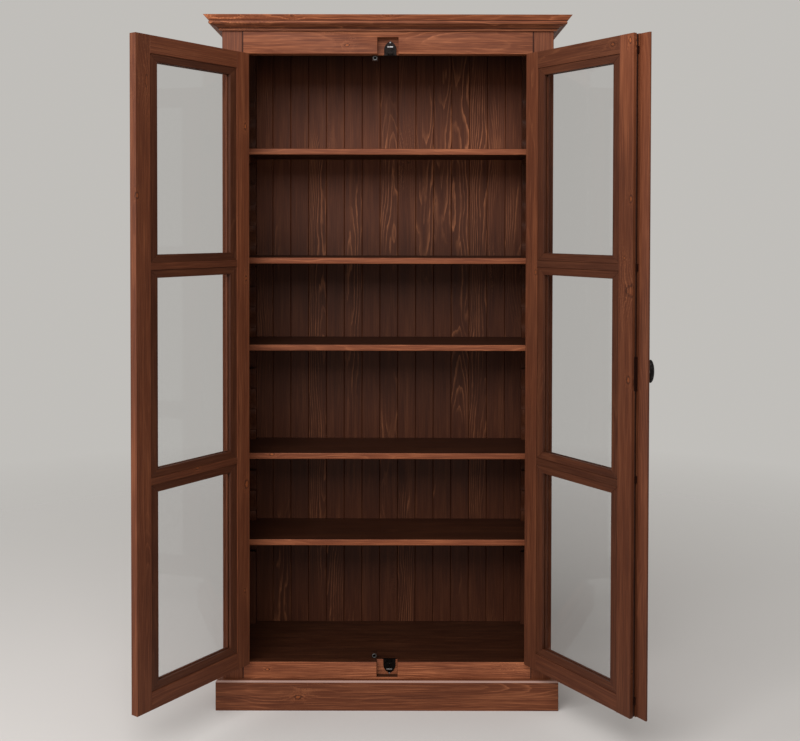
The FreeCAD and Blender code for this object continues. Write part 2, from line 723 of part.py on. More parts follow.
def make_stiles(side):
    """The two uprights of a door frame, with the rebate for the glass."""
    hand, name = -side, side_name(side)
    front, back, lip, ease = door_front, door_back, door_front + S["glass_lip"], S["ease"]
    width, rebate = S["stile_width"], S["rebate_width"]
    hinge = door_body(f"{name}_stile_hinge", side)
    corners = [
        (hinge_edge, front), (hinge_edge + width - ease, front), (hinge_edge + width, front + ease),
        (hinge_edge + width, lip), (hinge_edge + width - rebate, lip), (hinge_edge + width - rebate, back),
        (hinge_edge, back),
    ]
    pad(hinge, "XY", [(hand * x, y) for x, y in corners], door_low, door_high)
    for level in hinge_levels:
        seat = rectangle((front - CUT_PAST, front + S["leaf_depth"]),
                         (level - S["hinge_height"] / 2, level + S["hinge_height"] / 2))
        low, high = flank(hand, hinge_edge, hinge_edge + S["leaf_thickness"])
        pocket(hinge, "YZ", seat, low, high)
    node(hinge)
    meeting = door_body(f"{name}_stile_meeting", side)
    edge = meeting_edge
    corners = [
        (edge, back), (edge - width + rebate, back), (edge - width + rebate, lip), (edge - width, lip),
        (edge - width, front + ease), (edge - width + ease, front), (edge, front),
    ]
    if side == RIGHT:
        start = rod_line - S["channel_width"] / 2
        end = rod_line + S["channel_width"] / 2
        root = edge - S["channel_depth"]
        corners += [(edge, start), (root, start), (root, end), (edge, end)]
    pad(meeting, "XY", [(hand * x, y) for x, y in corners], door_low, door_high)
    if side == RIGHT:
        play = S["lock_play"]
        mortise = rectangle(flank(hand, lock_inner - play, edge + CUT_PAST),
                            (lock_low - play, lock_high + play))
        pocket(meeting, "XZ", mortise, lock_front - play, lock_back + play)
        bore(meeting, "XZ", (hand * pinion_place, S["knob_level"]), spindle_hole, front, lock_front)
    node(meeting)


def make_door_rail(label, side, behind, before):
    """A rail between the stiles: narrow behind the glass, wider in front of it."""
    hand = -side
    lip, width, rebate = door_front + S["glass_lip"], S["stile_width"], S["rebate_width"]
    body = door_body(label, side)
    shown = flank(hand, hinge_edge + width, meeting_edge - width)
    inner = flank(hand, hinge_edge + width - rebate, meeting_edge - width + rebate)
    pad(body, "XZ", rectangle(shown, before), door_front, lip)
    pad(body, "XZ", rectangle(inner, behind), lip, door_back)
    return body


def make_door_rails(side):
    """Top, bottom and middle rails of a door; returns the clear heights of the three panes."""
    name, rebate = side_name(side), S["rail_rebate"]
    end, middle = S["door_rail_height"], S["middle_rail_height"]
    pane = (door_height - 2 * end - 2 * middle) / 3
    node(make_door_rail(f"{name}_rail_bottom", side, (door_low, door_low + end - rebate),
                        (door_low, door_low + end)))
    node(make_door_rail(f"{name}_rail_top", side, (door_high - end + rebate, door_high),
                        (door_high - end, door_high)))
    rails = []
    for index in (1, 2):
        low = door_low + end + index * pane + (index - 1) * middle
        rails.append(make_door_rail(f"{name}_rail_{index}", side, (low + rebate, low + middle - rebate),
                                    (low, low + middle)))
    node(group(f"{name}_rails_middle", rails))
    lows = [door_low + end + index * (pane + middle) for index in range(3)]
    return [(low, low + pane) for low in lows]


def make_glazing(side, panes):
    """The panes of a door and the four mitred beads that hold each of them."""
    hand, name = -side, side_name(side)
    width, rebate, rise = S["stile_width"], S["rebate_width"], S["rail_rebate"]
    glass_front = door_front + S["glass_lip"]
    glass_back = glass_front + S["glass_thickness"]
    inner = (hinge_edge + width, meeting_edge - width)
    lap, lap_up = rebate - S["glass_play"], rise - S["glass_play"]
    glass, beads = [], []
    for index, (low, high) in enumerate(panes, 1):
        sheet_body = door_body(f"{name}_pane_{index}", side)
        across = flank(hand, inner[0] - lap, inner[1] + lap)
        pad(sheet_body, "XZ", rectangle(across, (low - lap_up, high + lap_up)), glass_front, glass_back)
        glass.append(sheet_body)
        clear = [(inner[0], low), (inner[1], low), (inner[1], high), (inner[0], high)]
        outer = [(inner[0] - rebate, low - rise), (inner[1] + rebate, low - rise),
                 (inner[1] + rebate, high + rise), (inner[0] - rebate, high + rise)]
        for turn in range(4):
            after = (turn + 1) % 4
            strip = [clear[turn], clear[after], outer[after], outer[turn]]
            bead = door_body(f"{name}_bead_{index}_{turn}", side)
            pad(bead, "XZ", [(hand * x, z) for x, z in strip], glass_back, bead_back)
            bead_edge = edge_between(side, clear[turn], clear[after])
            dress(bead, "Chamfer", S["bead_slope"], bead_edge)
            beads.append(bead)
    node(group(f"{name}_glass", glass))
    node(group(f"{name}_beads", beads))


def edge_between(side, start, end):
    """A test that finds the inner edge of a bead on the inside face of a door."""
    hand = -side
    x = hand * (start[0].value + end[0].value) / 2
    z = (start[1].value + end[1].value) / 2

    def wanted(at, way):
        return near(at.x, x) and near(at.y, bead_back) and near(at.z, z)

    return wanted


def make_hinges(side):
    """Three lift-off hinges: the post carries the lower knuckles and the pins, the door the upper ones."""
    hand, name = -side, side_name(side)
    thick, radius = S["leaf_thickness"], S["knuckle_radius"]
    door_leaves, post_leaves = [], []
    for index, level in enumerate(hinge_levels):
        low, high = level - S["hinge_height"] / 2, level + S["hinge_height"] / 2
        leaf = new_body(f"{name}_door_leaf_{index}")
        hang(leaf, side)
        plate = flank(hand, hinge_edge, hinge_edge + thick)
        pad(leaf, "XY", rectangle(plate, (door_front, door_front + S["leaf_depth"])), low, high)
        start = level + S["knuckle_gap"] / 2
        rod(leaf, "XY", (0, 0), radius, start, high)
        pad(leaf, "XY", rectangle(plate, (0, door_front)), start, high)
        bore(leaf, "XY", (0, 0), S["pin_radius"] + S["pin_play"], start, high)
        door_leaves.append(leaf)
        leaf = new_body(f"{name}_post_leaf_{index}")
        bind(leaf, "Placement.Base.x", side * pivot_x)
        bind(leaf, "Placement.Base.y", pivot_y)
        plate = flank(hand, -hinge_edge - thick, -hinge_edge)
        pad(leaf, "XY", rectangle(plate, (door_front, door_front + S["leaf_depth"])), low, high)
        finish = level - S["knuckle_gap"] / 2
        rod(leaf, "XY", (0, 0), radius, low, finish)
        pad(leaf, "XY", rectangle(plate, (0, door_front)), low, finish)
        rod(leaf, "XY", (0, 0), S["pin_radius"], finish, high - S["pin_end"])
        post_leaves.append(leaf)
    node(group(f"{name}_hinge_leaves", door_leaves))
    return post_leaves


def make_astragal():
    """Strip on the front of the right door that covers the joint of the closed doors."""
    hand = -RIGHT
    body = door_body("astragal", RIGHT)
    inner = meeting_edge + S["astragal_overlap"] - S["astragal_width"]
    outer = meeting_edge + S["astragal_overlap"]
    front, relief = door_front - S["astragal_thickness"], door_front - S["astragal_relief"]
    corners = [(inner, door_front), (inner, front), (outer, front), (outer, relief),
               (meeting_edge, relief), (meeting_edge, door_front)]
    pad(body, "XY", [(hand * x, y) for x, y in corners], door_low, door_high)
    dress(body, "Fillet", S["astragal_round"], lambda at, way: near(at.y, front) and abs(way.z) > 1)
    bore(body, "XZ", (hand * pinion_place, S["knob_level"]), spindle_hole, front, door_front)
    node(body)


def make_rose():
    """Long plate under the knob."""
    body = door_body("knob_plate", RIGHT)
    back = door_front - S["astragal_thickness"]
    front = back - S["rose_thickness"]
    half, reach = S["rose_width"] / 2, S["rose_length"] / 2
    middle, level = -pinion_place, S["knob_level"]
    pad(body, "XZ", rectangle((middle - half, middle + half), (level - reach, level + reach)), front, back)
    dress(body, "Fillet", S["rose_corner"], lambda at, way: abs(way.y) > 1)
    bore(body, "XZ", (middle, level), S["spindle_radius"] + S["spindle_play"], front, back)
    node(body)


def revolve(body, sketch, name):
    """Turns a sketch round its own vertical axis."""
    doc.recompute()
    turned = body.newObject("PartDesign::Revolution", name)
    turned.Profile = sketch
    turned.ReferenceAxis = (sketch, ["V_Axis"])
    sketch.Visibility = False
    body.Tip = turned


def repeat(body, kind, feature, axis, length, count):
    """Repeats a feature along or round an axis of its own sketch."""
    pattern = body.newObject(f"PartDesign::{kind}", f"{feature.Name}_row")
    pattern.Originals = [feature]
    along = kind == "LinearPattern"
    setattr(pattern, "Direction" if along else "Axis", (feature.Profile[0], [axis]))
    bind(pattern, "Length" if along else "Angle", length)
    bind(pattern, "Occurrences", count)
    body.Tip = pattern
    return pattern


def make_knob():
    """Olive-shaped knob on its neck, with the spindle and the pinion of the lock."""
    body = door_body("knob", RIGHT)
    middle, level = -pinion_place, S["knob_level"]
    plate = door_front - S["astragal_thickness"] - S["rose_thickness"]
    centre = door_front - S["astragal_thickness"] - S["knob_reach"]
    inside = plate - S["collar_length"]
    rod(body, "XZ", (middle, level), S["spindle_radius"], inside, lock_back - S["lock_play"])
    neck = new_sketch(body, "XY", level, (middle, 0))
    collar, waist = S["collar_radius"], S["neck_radius"]
    foot = plate - S["knob_play"]
    step = foot - S["collar_length"]
    outline(neck, [(0, centre), (waist, centre), (waist, step), (collar, step), (collar, foot), (0, foot)])
    revolve(body, neck, "knob_neck")
    olive = new_sketch(body, "XZ", centre, (middle, level))
    corners = [(0, S["knob_length"] / 2)]
    for step in range(1, OLIVE_STEPS):
        turn = 180 * step / OLIVE_STEPS
        across = Size(math.sin(math.radians(turn)), f"sin({turn} deg)")
        along = Size(math.cos(math.radians(turn)), f"cos({turn} deg)")
        corners.append((S["knob_radius"] * across, S["knob_length"] / 2 * along))
    outline(olive, corners + [(0, -S["knob_length"] / 2)])
    revolve(body, olive, "knob_olive")
    front, back = bar_front + S["pinion_play"], bar_back - S["pinion_play"]
    root, tip = S["pinion_radius"] - S["tooth_depth"], S["pinion_radius"] + S["tooth_height"]
    rod(body, "XZ", (middle, level), root, front, back)
    tooth = new_sketch(body, "XZ", front, (middle, level))
    foot, top = S["pinion_tooth_foot"] / 2, S["pinion_tooth_tip"] / 2
    inside = root - TOOTH_SINK
    outline(tooth, [(-foot, inside), (foot, inside), (foot, root), (top, tip), (-top, tip), (-foot, root)])
    grown = grow(body, tooth, "XZ", front, back)
    repeat(body, "PolarPattern", grown, "N_Axis", 360, S["pinion_teeth"])
    node(body)


def make_lock_rod(upward):
    """A round rod with a toothed bar that the pinion drives; the lower one reaches round the pinion."""
    body = door_body("upper_rod" if upward else "lower_rod", RIGHT)
    way, level = (1 if upward else -1), S["knob_level"]
    start = level + way * (S["lock_height"] / 2 + S["rod_case_gap"])
    end = (door_high if upward else door_low) - way * S["rod_end_gap"]
    rod(body, "XY", (-rod_place, rod_line), S["rod_radius"], *((start, end) if upward else (end, start)))
    half = S["rack_bar_width"] / 2
    inner = level - way * (S["rod_travel"] + S["pinion_radius"])
    joined = start + way * CUT_PAST
    shaft = (-rod_place - half, -rod_place + half)
    mirrored = (rod_place - 2 * pinion_place - half, rod_place - 2 * pinion_place + half)
    if upward:
        pad(body, "XZ", rectangle(shaft, (inner, joined)), bar_front, bar_back)
        face, out = shaft[1], 1
    else:
        arm = level - S["rod_travel"] - S["pinion_radius"] - S["crank_gap"]
        foot = arm - S["crank_height"]
        corners = [(shaft[0], joined), (shaft[1], joined), (shaft[1], foot), (mirrored[1], foot),
                   (mirrored[1], inner), (mirrored[0], inner), (mirrored[0], arm), (shaft[0], arm)]
        pad(body, "XZ", corners, bar_front, bar_back)
        face, out = mirrored[0], -1
    pitch = 2 * Size(math.pi, "pi") * S["pinion_radius"] / S["pinion_teeth"]
    lowest = level - 5 * pitch if upward else level - 2 * pitch
    foot, top = S["bar_tooth_foot"] / 2, S["bar_tooth_tip"] / 2
    tip = face + out * (S["tooth_depth"] + S["tooth_height"])
    inside = face - out * TOOTH_SINK
    tooth = new_sketch(body, "XZ", bar_front)
    outline(tooth, [(inside, lowest - foot), (face, lowest - foot), (tip, lowest - top),
                    (tip, lowest + top), (face, lowest + foot), (inside, lowest + foot)])
    grown = grow(body, tooth, "XZ", bar_front, bar_back)
    repeat(body, "LinearPattern", grown, "V_Axis", (S["bar_teeth"] - 1) * pitch, S["bar_teeth"])
    node(body)


def make_lock_case():
    """Case round the pinion, open at the back, and the cover that closes it."""
    level, wall = S["knob_level"], S["lock_wall"]
    outer = (-meeting_edge, -lock_inner)
    inner = (outer[0] + wall, outer[1] - wall)
    hole = S["spindle_radius"] + S["spindle_play"]
    case = door_body("lock_box", RIGHT)
    pad(case, "XZ", rectangle(outer, (lock_low, lock_high)), lock_front, lock_back - wall)
    pocket(case, "XZ", rectangle(inner, (lock_low + wall, lock_high - wall)), lock_front + wall, lock_back)
    bore(case, "XZ", (-pinion_place, level), hole, lock_front - CUT_PAST, lock_front + wall + CUT_PAST)
    half = S["rack_bar_width"] / 2 + S["bar_play"]
    slot = rectangle((-rod_place - half, -rod_place + half),
                     (bar_front - S["bar_play"], bar_back + S["bar_play"]))
    pocket(case, "XY", slot, lock_low - CUT_PAST, lock_high + CUT_PAST)
    cover = door_body("lock_cover", RIGHT)
    pad(cover, "XZ", rectangle(outer, (lock_low, lock_high)), lock_back - wall, lock_back)
    bore(cover, "XZ", (-pinion_place, level), hole, lock_back - wall - CUT_PAST, lock_back + CUT_PAST)
    node(group("lock_case", [case, cover]))


def make_rod_guides():
    """Blocks in the channel of the right door with a bore for the rods."""
    level, half = S["knob_level"], S["guide_height"] / 2
    middles = (door_low + S["guide_end_inset"], level - S["guide_lock_inset"],
               level + S["guide_lock_inset"], door_high - S["guide_end_inset"])
    width = S["channel_width"] / 2
    section = rectangle((-meeting_edge, S["channel_depth"] - meeting_edge),
                        (rod_line - width, rod_line + width))
    guides = []
    for index, middle in enumerate(middles, 1):
        guide = door_body(f"rod_guide_{index}", RIGHT)
        pad(guide, "XY", section, middle - half, middle + half)
        hole = S["rod_radius"] + S["rod_play"]
        bore(guide, "XY", (-rod_place, rod_line), hole, middle - half - CUT_PAST, middle + half + CUT_PAST)
        guides.append(guide)
    node(group("rod_guides", guides))


def make_keeper(upward):
    """Shield-shaped plate with a bridge for the rod end and a flange along the rail."""
    body = new_body("keeper_top" if upward else "keeper_bottom")
    way = 1 if upward else -1
    edge = opening_top if upward else S["opening_bottom"]
    rear = S["top_pocket_depth"] if upward else S["bottom_pocket_depth"]
    behind = S["top_rail_thickness"] if upward else S["bottom_rail_thickness"]
    wall, middle = S["keeper_wall"], pivot_x - rod_place
    half, height = S["keeper_width"] / 2, S["keeper_height"]
    outside = edge - way * S["flange_thickness"]
    shoulder, swell = edge + way * 0.3 * height, edge + way * 0.72 * height
    corners = [(middle - half, outside), (middle + half, outside), (middle + half, shoulder),
               (middle, edge + way * height), (middle - half, shoulder)]
    bows = {2: (middle + 0.78 * half, swell), 3: (middle - 0.78 * half, swell)}
    pad(body, "XZ", corners, rear - wall, rear, bows)
    reach = S["flange_width"] / 2
    low, high = (outside, edge) if upward else (edge, outside)
    pad(body, "XY", rectangle((middle - reach, middle + reach), (rear, behind)), low, high)
    pad(body, "XY", rectangle((middle - half, middle + half), (rear - wall, rear + CUT_PAST)), low, high)
    inner = S["rod_radius"] + S["keeper_play"]
    outer = inner + wall
    bridge = [(middle - outer, 0), (middle + outer, 0), (middle + outer, rear - wall),
              (middle + inner, rear - wall), (middle + inner, wall), (middle - inner, wall),
              (middle - inner, rear - wall),
              (middle - outer, rear - wall)]
    near_edge = edge + way * S["keeper_lift"]
    far_edge = near_edge + way * S["keeper_bridge"]
    pad(body, "XY", bridge, *((near_edge, far_edge) if upward else (far_edge, near_edge)))
    node(body)


def make_door_stops():
    """Blocks with round buffers that the left door closes against."""
    middle, half = -S["stop_offset"], S["stop_width"] / 2
    face = pivot_y + door_back + S["buffer_play"]
    front = face + S["buffer_length"]
    height = S["stop_height"]
    stops = []
    for name, low, edge in (("bottom", bottom_board_high, S["opening_bottom"]),
                            ("top", opening_top - height, opening_top - height)):
        stop = new_body(f"door_stop_{name}")
        block = rectangle((middle - half, middle + half), (low, edge + height))
        pad(stop, "XZ", block, front, front + S["stop_depth"])
        rod(stop, "XZ", (middle, edge + height / 2), S["buffer_radius"], face, front)
        stops.append(stop)
    node(group("door_stops", stops))


def finish_and_export():
    """Checks every object, then writes one file for each piece."""
    doc.recompute()
    for thing in doc.Objects:
        if "Invalid" in thing.State or "Error" in thing.State:
            raise ValueError(f"{thing.Label} failed: {thing.State}")
    os.makedirs("parts", exist_ok=True)
    for piece in nodes:
        if piece.Shape.isNull() or not piece.Shape.isValid():
            raise ValueError(f"{piece.Label} has no valid shape")
    for piece in nodes:
        piece.Shape.exportStep(f"parts/{piece.Label}.step")
        print(piece.Label, len(piece.Shape.Solids), round(piece.Shape.Volume))


for side in (LEFT, RIGHT):
    make_front_post(side)
    make_rear_post(side)
    make_side(side)
make_front_rails()
make_back()
make_top_and_bottom()
make_plinth()
make_cornice()
for side in (LEFT, RIGHT):
    make_rack(side, "front")
    make_rack(side, "rear")
make_shelves()
post_leaves = []
for side in (LEFT, RIGHT):
    make_stiles(side)
    make_glazing(side, make_door_rails(side))
    post_leaves += make_hinges(side)
node(group("hinge_leaves_posts", post_leaves))
make_astragal()
make_rose()
make_knob()
make_lock_rod(True)
make_lock_rod(False)
make_lock_case()
make_rod_guides()
make_keeper(True)
make_keeper(False)
make_door_stops()
finish_and_export()
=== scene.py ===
"""Stained pine display cabinet: surfaces, small fittings, camera and light round the CAD part."""

import json
import math
import random

import bmesh
import bpy
from bpy.props import FloatProperty, FloatVectorProperty, PointerProperty
from mathutils import Matrix, Vector


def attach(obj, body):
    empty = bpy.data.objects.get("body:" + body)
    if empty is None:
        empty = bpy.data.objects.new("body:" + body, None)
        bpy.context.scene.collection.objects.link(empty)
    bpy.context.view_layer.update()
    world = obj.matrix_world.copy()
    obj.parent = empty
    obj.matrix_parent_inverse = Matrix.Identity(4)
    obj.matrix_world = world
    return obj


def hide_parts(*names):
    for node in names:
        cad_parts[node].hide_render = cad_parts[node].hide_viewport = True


bl_info = {
    "name": "Display Cabinet",
    "version": (1, 0, 0),
    "blender": (4, 5, 0),
    "location": "View3D > Sidebar > Cabinet",
    "description": "Dresses the CAD model of a glazed pine display cabinet",
    "category": "Object",
}

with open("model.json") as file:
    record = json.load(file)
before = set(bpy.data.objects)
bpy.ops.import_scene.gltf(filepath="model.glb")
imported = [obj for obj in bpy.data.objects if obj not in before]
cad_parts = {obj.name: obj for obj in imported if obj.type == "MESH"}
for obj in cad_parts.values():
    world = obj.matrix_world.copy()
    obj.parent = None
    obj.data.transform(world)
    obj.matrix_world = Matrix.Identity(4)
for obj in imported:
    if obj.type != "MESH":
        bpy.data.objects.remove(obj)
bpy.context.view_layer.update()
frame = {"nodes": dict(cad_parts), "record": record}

BODY_OF_NODE = {
    node: body
    for body, members in frame["record"]["behaviour"]["bodies"].items()
    for node in members
}
SLOT_OF_NODE = {
    subpart["node"]: subpart["material_slot"] for subpart in frame["record"]["subparts"]
}
JOINTS = {joint["name"]: joint for joint in frame["record"]["behaviour"]["joints"]}
MERGE_DISTANCE = 1e-5
TOUCH = 1e-4
FLAT_ANGLE = math.radians(1)
SHARP_ANGLE = math.radians(35)
# from this share of its normal on, a face counts as turned to the front
FACES_FRONT = 0.7
# upward share of the normal of the faces that round off an upper edge, which get a painted
# highlight
CREST_RISE = (0.1, 0.98)
# the heart of the tree lies this far from the middle of a board
HEART_DISTANCE = (0.03, 0.09)
BEAD_TONE = 0.5
TURN_STEPS = 40
# knots at chance places: cells in a metre, across and along the grain
KNOTS_ACROSS, KNOTS_ALONG = 5.5, 2.3
# growth rings: sway and wander of their middle, taper along the grain, rings that a knot bends
RING_SWAY, RING_WANDER, RING_TAPER, RINGS_BENT = 0.09, 0.008, 0.006, 2.8
# painted light and shade on the doors, lighter towards the top and darker towards the bottom, as
# the light falls: level and share of the colour
DOOR_PAINTED_LIGHT = {
    "left_stile_hinge": ((0.1, 0.70), (0.6, 0.85), (1.15, 0.97), (1.8, 1.10)),
    "left_stile_meeting": ((0, 1.0),),
    "left_rail_top": ((0, 1.06),),
    "left_rail_bottom": ((0, 0.82),),
    "left_rails_middle": ((0, 1.0),),
    "right_stile_hinge": ((0.1, 0.70), (0.6, 0.78), (1.15, 0.84), (1.7, 1.0)),
    "right_stile_meeting": ((0.1, 0.80), (0.6, 0.92), (1.45, 1.0), (1.62, 1.45), (1.8, 1.85)),
    "right_rail_top": ((0, 0.82),),
    "right_rail_bottom": ((0, 0.80),),
    "right_rails_middle": ((0.7, 0.68), (1.3, 0.80)),
    "astragal": ((0.1, 0.70), (0.4, 0.90), (1.1, 0.96), (1.5, 1.20), (1.8, 1.55)),
}
# knots of the doors: reach from the hinge pin, level, depth behind the pin, radius
DOOR_KNOTS = {
    "left_stile_hinge": (
        (0.012, 0.631, 0.0265, 0.0070), (0.014, 1.195, 0.0265, 0.0040),
        (0.016, 1.608, 0.0265, 0.0050), (0.020, 0.340, 0.0265, 0.0035),
    ),
    "left_stile_meeting": ((0.394, 1.412, 0.0250, 0.0050),),
    "left_rails_middle": ((0.195, 0.7085, 0.0265, 0.0040),),
    "right_stile_hinge": ((0.043, 1.214, 0.0265, 0.0045),),
    "right_stile_meeting": (
        (0.386, 1.791, 0.0265, 0.0045), (0.398, 1.783, 0.0165, 0.0045),
        (0.391, 1.406, 0.0265, 0.0050), (0.386, 0.963, 0.0265, 0.0055),
        (0.398, 0.957, 0.0165, 0.0055), (0.371, 1.261, 0.0265, 0.0030),
        (0.398, 0.247, 0.0200, 0.0035),
    ),
    "right_rail_top": ((0.327, 1.789, 0.0265, 0.0050),),
}
# knots of the carcass: place and radius
KNOTS = {
    "plinth_front": (((-0.2456, -0.018, 0.038), 0.0055),),
    "rail_bottom_front": (((-0.332, 0.0, 0.108), 0.0035),),
    "rail_top_front": (((-0.112, 0.0, 1.834), 0.0040),),
    "cornice_front": (((-0.259, -0.043, 1.904), 0.0035), ((-0.001, -0.043, 1.905), 0.0035)),
    "shelf_4": (((-0.331, 0.098, 0.686), 0.0040),),
}
# dark lines: axis, distance from the middle or level, half width; joints where the rails meet the
# posts, and the two steps of the cornice's moulding
CORNICE_STEP_LINES = ((2, 1.8962, 0.0015), (2, 1.8790, 0.0013))
DARK_LINES = {
    "rail_top_front": ((0, 0.3988, 0.0026),),
    "rail_bottom_front": ((0, 0.3990, 0.0020),),
    **{f"cornice_{way}": CORNICE_STEP_LINES for way in ("front", "left", "right")},
}
# levels of the cornice and the share of the fascia's lean there
CORNICE_LEANS = ((1.9101, 0.0), (1.8970, 1.0), (1.8950, 0.83), (1.8860, 0.0))
CARCASS_SIDE = 0.455
HALF_OPENING = 0.400
# screws of the hinges: above and below a hinge's middle, then depth on the posts and on the doors
HINGE_SCREW_STEPS = (-0.024, 0, 0.024)
POST_SCREW_DEPTH, DOOR_SCREW_DEPTH = 0.011, 0.0155
POST_SCREW_REACH, DOOR_SCREW_REACH = 0.0001, 0.00075
PLATE_SCREW_STEP = 0.020
# a screw head in shares of its radius: rise and taper, then size and level of the slot
HEAD_RISE, HEAD_TAPER = 0.16, 0.86
SLOT_SIZE, SLOT_RISE = (1.66, 0.22, 0.05), 0.15
# lip of a keeper: size, way out, then levels of the lip and its screw from the keeper's foot
LIP_SIZE, LIP_OUT = (0.0155, 0.0022, 0.0034), 0.0006
LIP_LEVEL, LIP_SCREW_LEVEL = 0.0205, 0.0325
LIP_EDGE = 0.0003
FLOOR_RADIUS = 9.0
CAMERA_SHIFT = (-0.0013, -0.1554)
ROOM_TINT = (1, 0.985, 0.96)
ACROSS, DEEP, UPRIGHT = (1, 0, 0), (0, 1, 0), (0, 0, 1)
DOOR_SIDES = (("left", -1), ("right", 1))


def colour(name, description, default):
    """A colour that can be changed in the panel."""
    return FloatVectorProperty(
        name=name, description=description, default=default, size=3, min=0, max=1, subtype="COLOR"
    )


def amount(name, description, default, high=1000):
    """A number from 0 on that can be changed in the panel."""
    return FloatProperty(name=name, description=description, default=default, min=0, max=high)


def angle(name, description, degrees):
    """An angle that can be changed in the panel."""
    radians = math.radians(degrees)
    return FloatProperty(name=name, description=description, default=radians, subtype="ANGLE")


def length(name, description, default):
    """A length that can be changed in the panel."""
    return FloatProperty(
        name=name, description=description, default=default, min=0, unit="LENGTH", precision=4
    )


class CabinetFinish(bpy.types.PropertyGroup):
    """Colours of the wood, the glass and the metal."""

    stain: colour("Stain", "Stained wood between the rings", (0.112, 0.031, 0.0125))
    rings: colour("Rings", "Hard rings that take less stain", (0.34, 0.120, 0.052))
    blotch: colour("Blotches", "Places that took more stain", (0.050, 0.014, 0.0070))
    knots: colour("Knots", "Bright wood of the knots", (0.25, 0.068, 0.019))
    rims: colour("Knot rims", "Dark rim of the knots", (0.020, 0.006, 0.004))
    # painted highlight on rounded upper edges
    crest: colour("Rounded edges", "Rounded edges that catch the light", (0.40, 0.26, 0.22))
    # painted shade inside the cabinet, as shares of the outer colour: shade on the shelves and the
    # bottom board, back on the back, the top board, the racks and the cleats
    shade: amount("Inside", "Share of the outer colour on the shelves", 0.26, 1)
    back: amount("Back", "The same on the back and the racks", 0.48, 1)
    glass: colour("Glass", "What the panes mirror back", (0.22, 0.225, 0.225))
    bronze: colour("Bronze", "Knob, its plate and the hinges", (0.012, 0.010, 0.010))
    # bright bronze of the wear, also used for the painted highlight on the knob's neck
    bronze_worn_and_highlight: colour("Worn bronze", "Rubbed parts of the knob", (0.30, 0.29, 0.28))
    steel: colour("Steel", "Keepers", (0.010, 0.008, 0.0075))
    brown_steel: colour("Browned steel", "Rods and the lock", (0.060, 0.030, 0.024))
    bright_steel: colour("Bright steel", "Lips of the keepers", (0.20, 0.19, 0.19))
    buffer: colour("Buffers", "Buffers of the door stops", (0.12, 0.12, 0.12))


class CabinetSizes(bpy.types.PropertyGroup):
    """Sizes of the small details."""

    edge: length("Board edges", "Rounding of the wooden edges", 0.0010)
    metal_edge: length("Metal edges", "Rounding of the metal edges", 0.00025)
    ring: length("Ring spacing", "Distance between two growth rings", 0.0048)
    fibre: length("Fibre", "Width of the fibres in the wood", 0.0009)
    streak: length("Streak", "Width of the lighter and darker streaks", 0.0065)
    bead_across: length("Upright beads", "Width of the glazing beads along the stiles", 0.024)
    bead_along: length("Level beads", "Width of the glazing beads along the rails", 0.020)
    fascia_lean: length("Fascia", "Lean of the cornice's upper band", 0.0120)
    buffer: length("Buffers", "Length of the door stops' buffers", 0.0026)
    buffer_radius: length("Buffer radius", "Radius of the door stops' buffers", 0.0060)
    olive_length: length("Knob length", "Length of the olive", 0.058)
    olive_radius: length("Knob radius", "Radius of the olive in its middle", 0.0098)
    olive_reach: length("Knob reach", "Middle of the olive from the knob's place", 0.0535)
    neck_radius: length("Neck", "Radius of the knob's neck", 0.0065)
    collar_end: length("Collar", "Outer end of the collar from the knob's place", 0.0101)
    plate_front: length("Plate", "Front of the knob's plate from the knob's place", 0.0060)
    screw: length("Screw heads", "Diameter of the screw heads", 0.0052)
    plate_screw: length("Plate screws", "Diameter of the screws of the knob's plate", 0.0044)

    def moulding_leans(self):
        """Levels of the cornice and how far the moulding leans inwards there."""
        return [(level, self.fascia_lean * part) for level, part in CORNICE_LEANS]


class CabinetStage(bpy.types.PropertyGroup):
    """Camera, lamps and background."""

    camera_place: FloatVectorProperty(
        name="Camera", description="Place of the camera", default=(0.0368, -2.9755, 1.3408),
        size=3, subtype="TRANSLATION",
    )
    camera_tilt: angle("Tilt", "Camera below the level", 1.12)
    camera_roll: angle("Roll", "Camera turned in its own view", 0.10)
    lens: amount("Lens", "Focal length in millimetres", 48.64)
    backdrop: colour("Backdrop", "Colour behind the cabinet", (0.53, 0.515, 0.49))
    floor: colour("Floor", "Colour of the floor", (0.62, 0.595, 0.575))
    key: amount("Main lamp", "Power in watts", 150)
    fill: amount("Side lamp", "Power in watts", 50)
    room: amount("Room light", "Light from all sides", 0.50)


class Wire:
    """One output of a shader node, for use in sums."""

    def __init__(self, graph, socket):
        self.graph = graph
        self.socket = socket

    def __add__(self, other):
        return self.graph.maths("ADD", self, other)

    def __radd__(self, other):
        return self.graph.maths("ADD", other, self)

    def __sub__(self, other):
        return self.graph.maths("SUBTRACT", self, other)

    def __rsub__(self, other):
        return self.graph.maths("SUBTRACT", other, self)

    def __mul__(self, other):
        return self.graph.maths("MULTIPLY", self, other)

    def __rmul__(self, other):
        return self.graph.maths("MULTIPLY", other, self)

    def __truediv__(self, other):
        return self.graph.maths("DIVIDE", self, other)

    def __rtruediv__(self, other):
        return self.graph.maths("DIVIDE", other, self)

    def __pow__(self, other):
        return self.graph.maths("POWER", self, other)


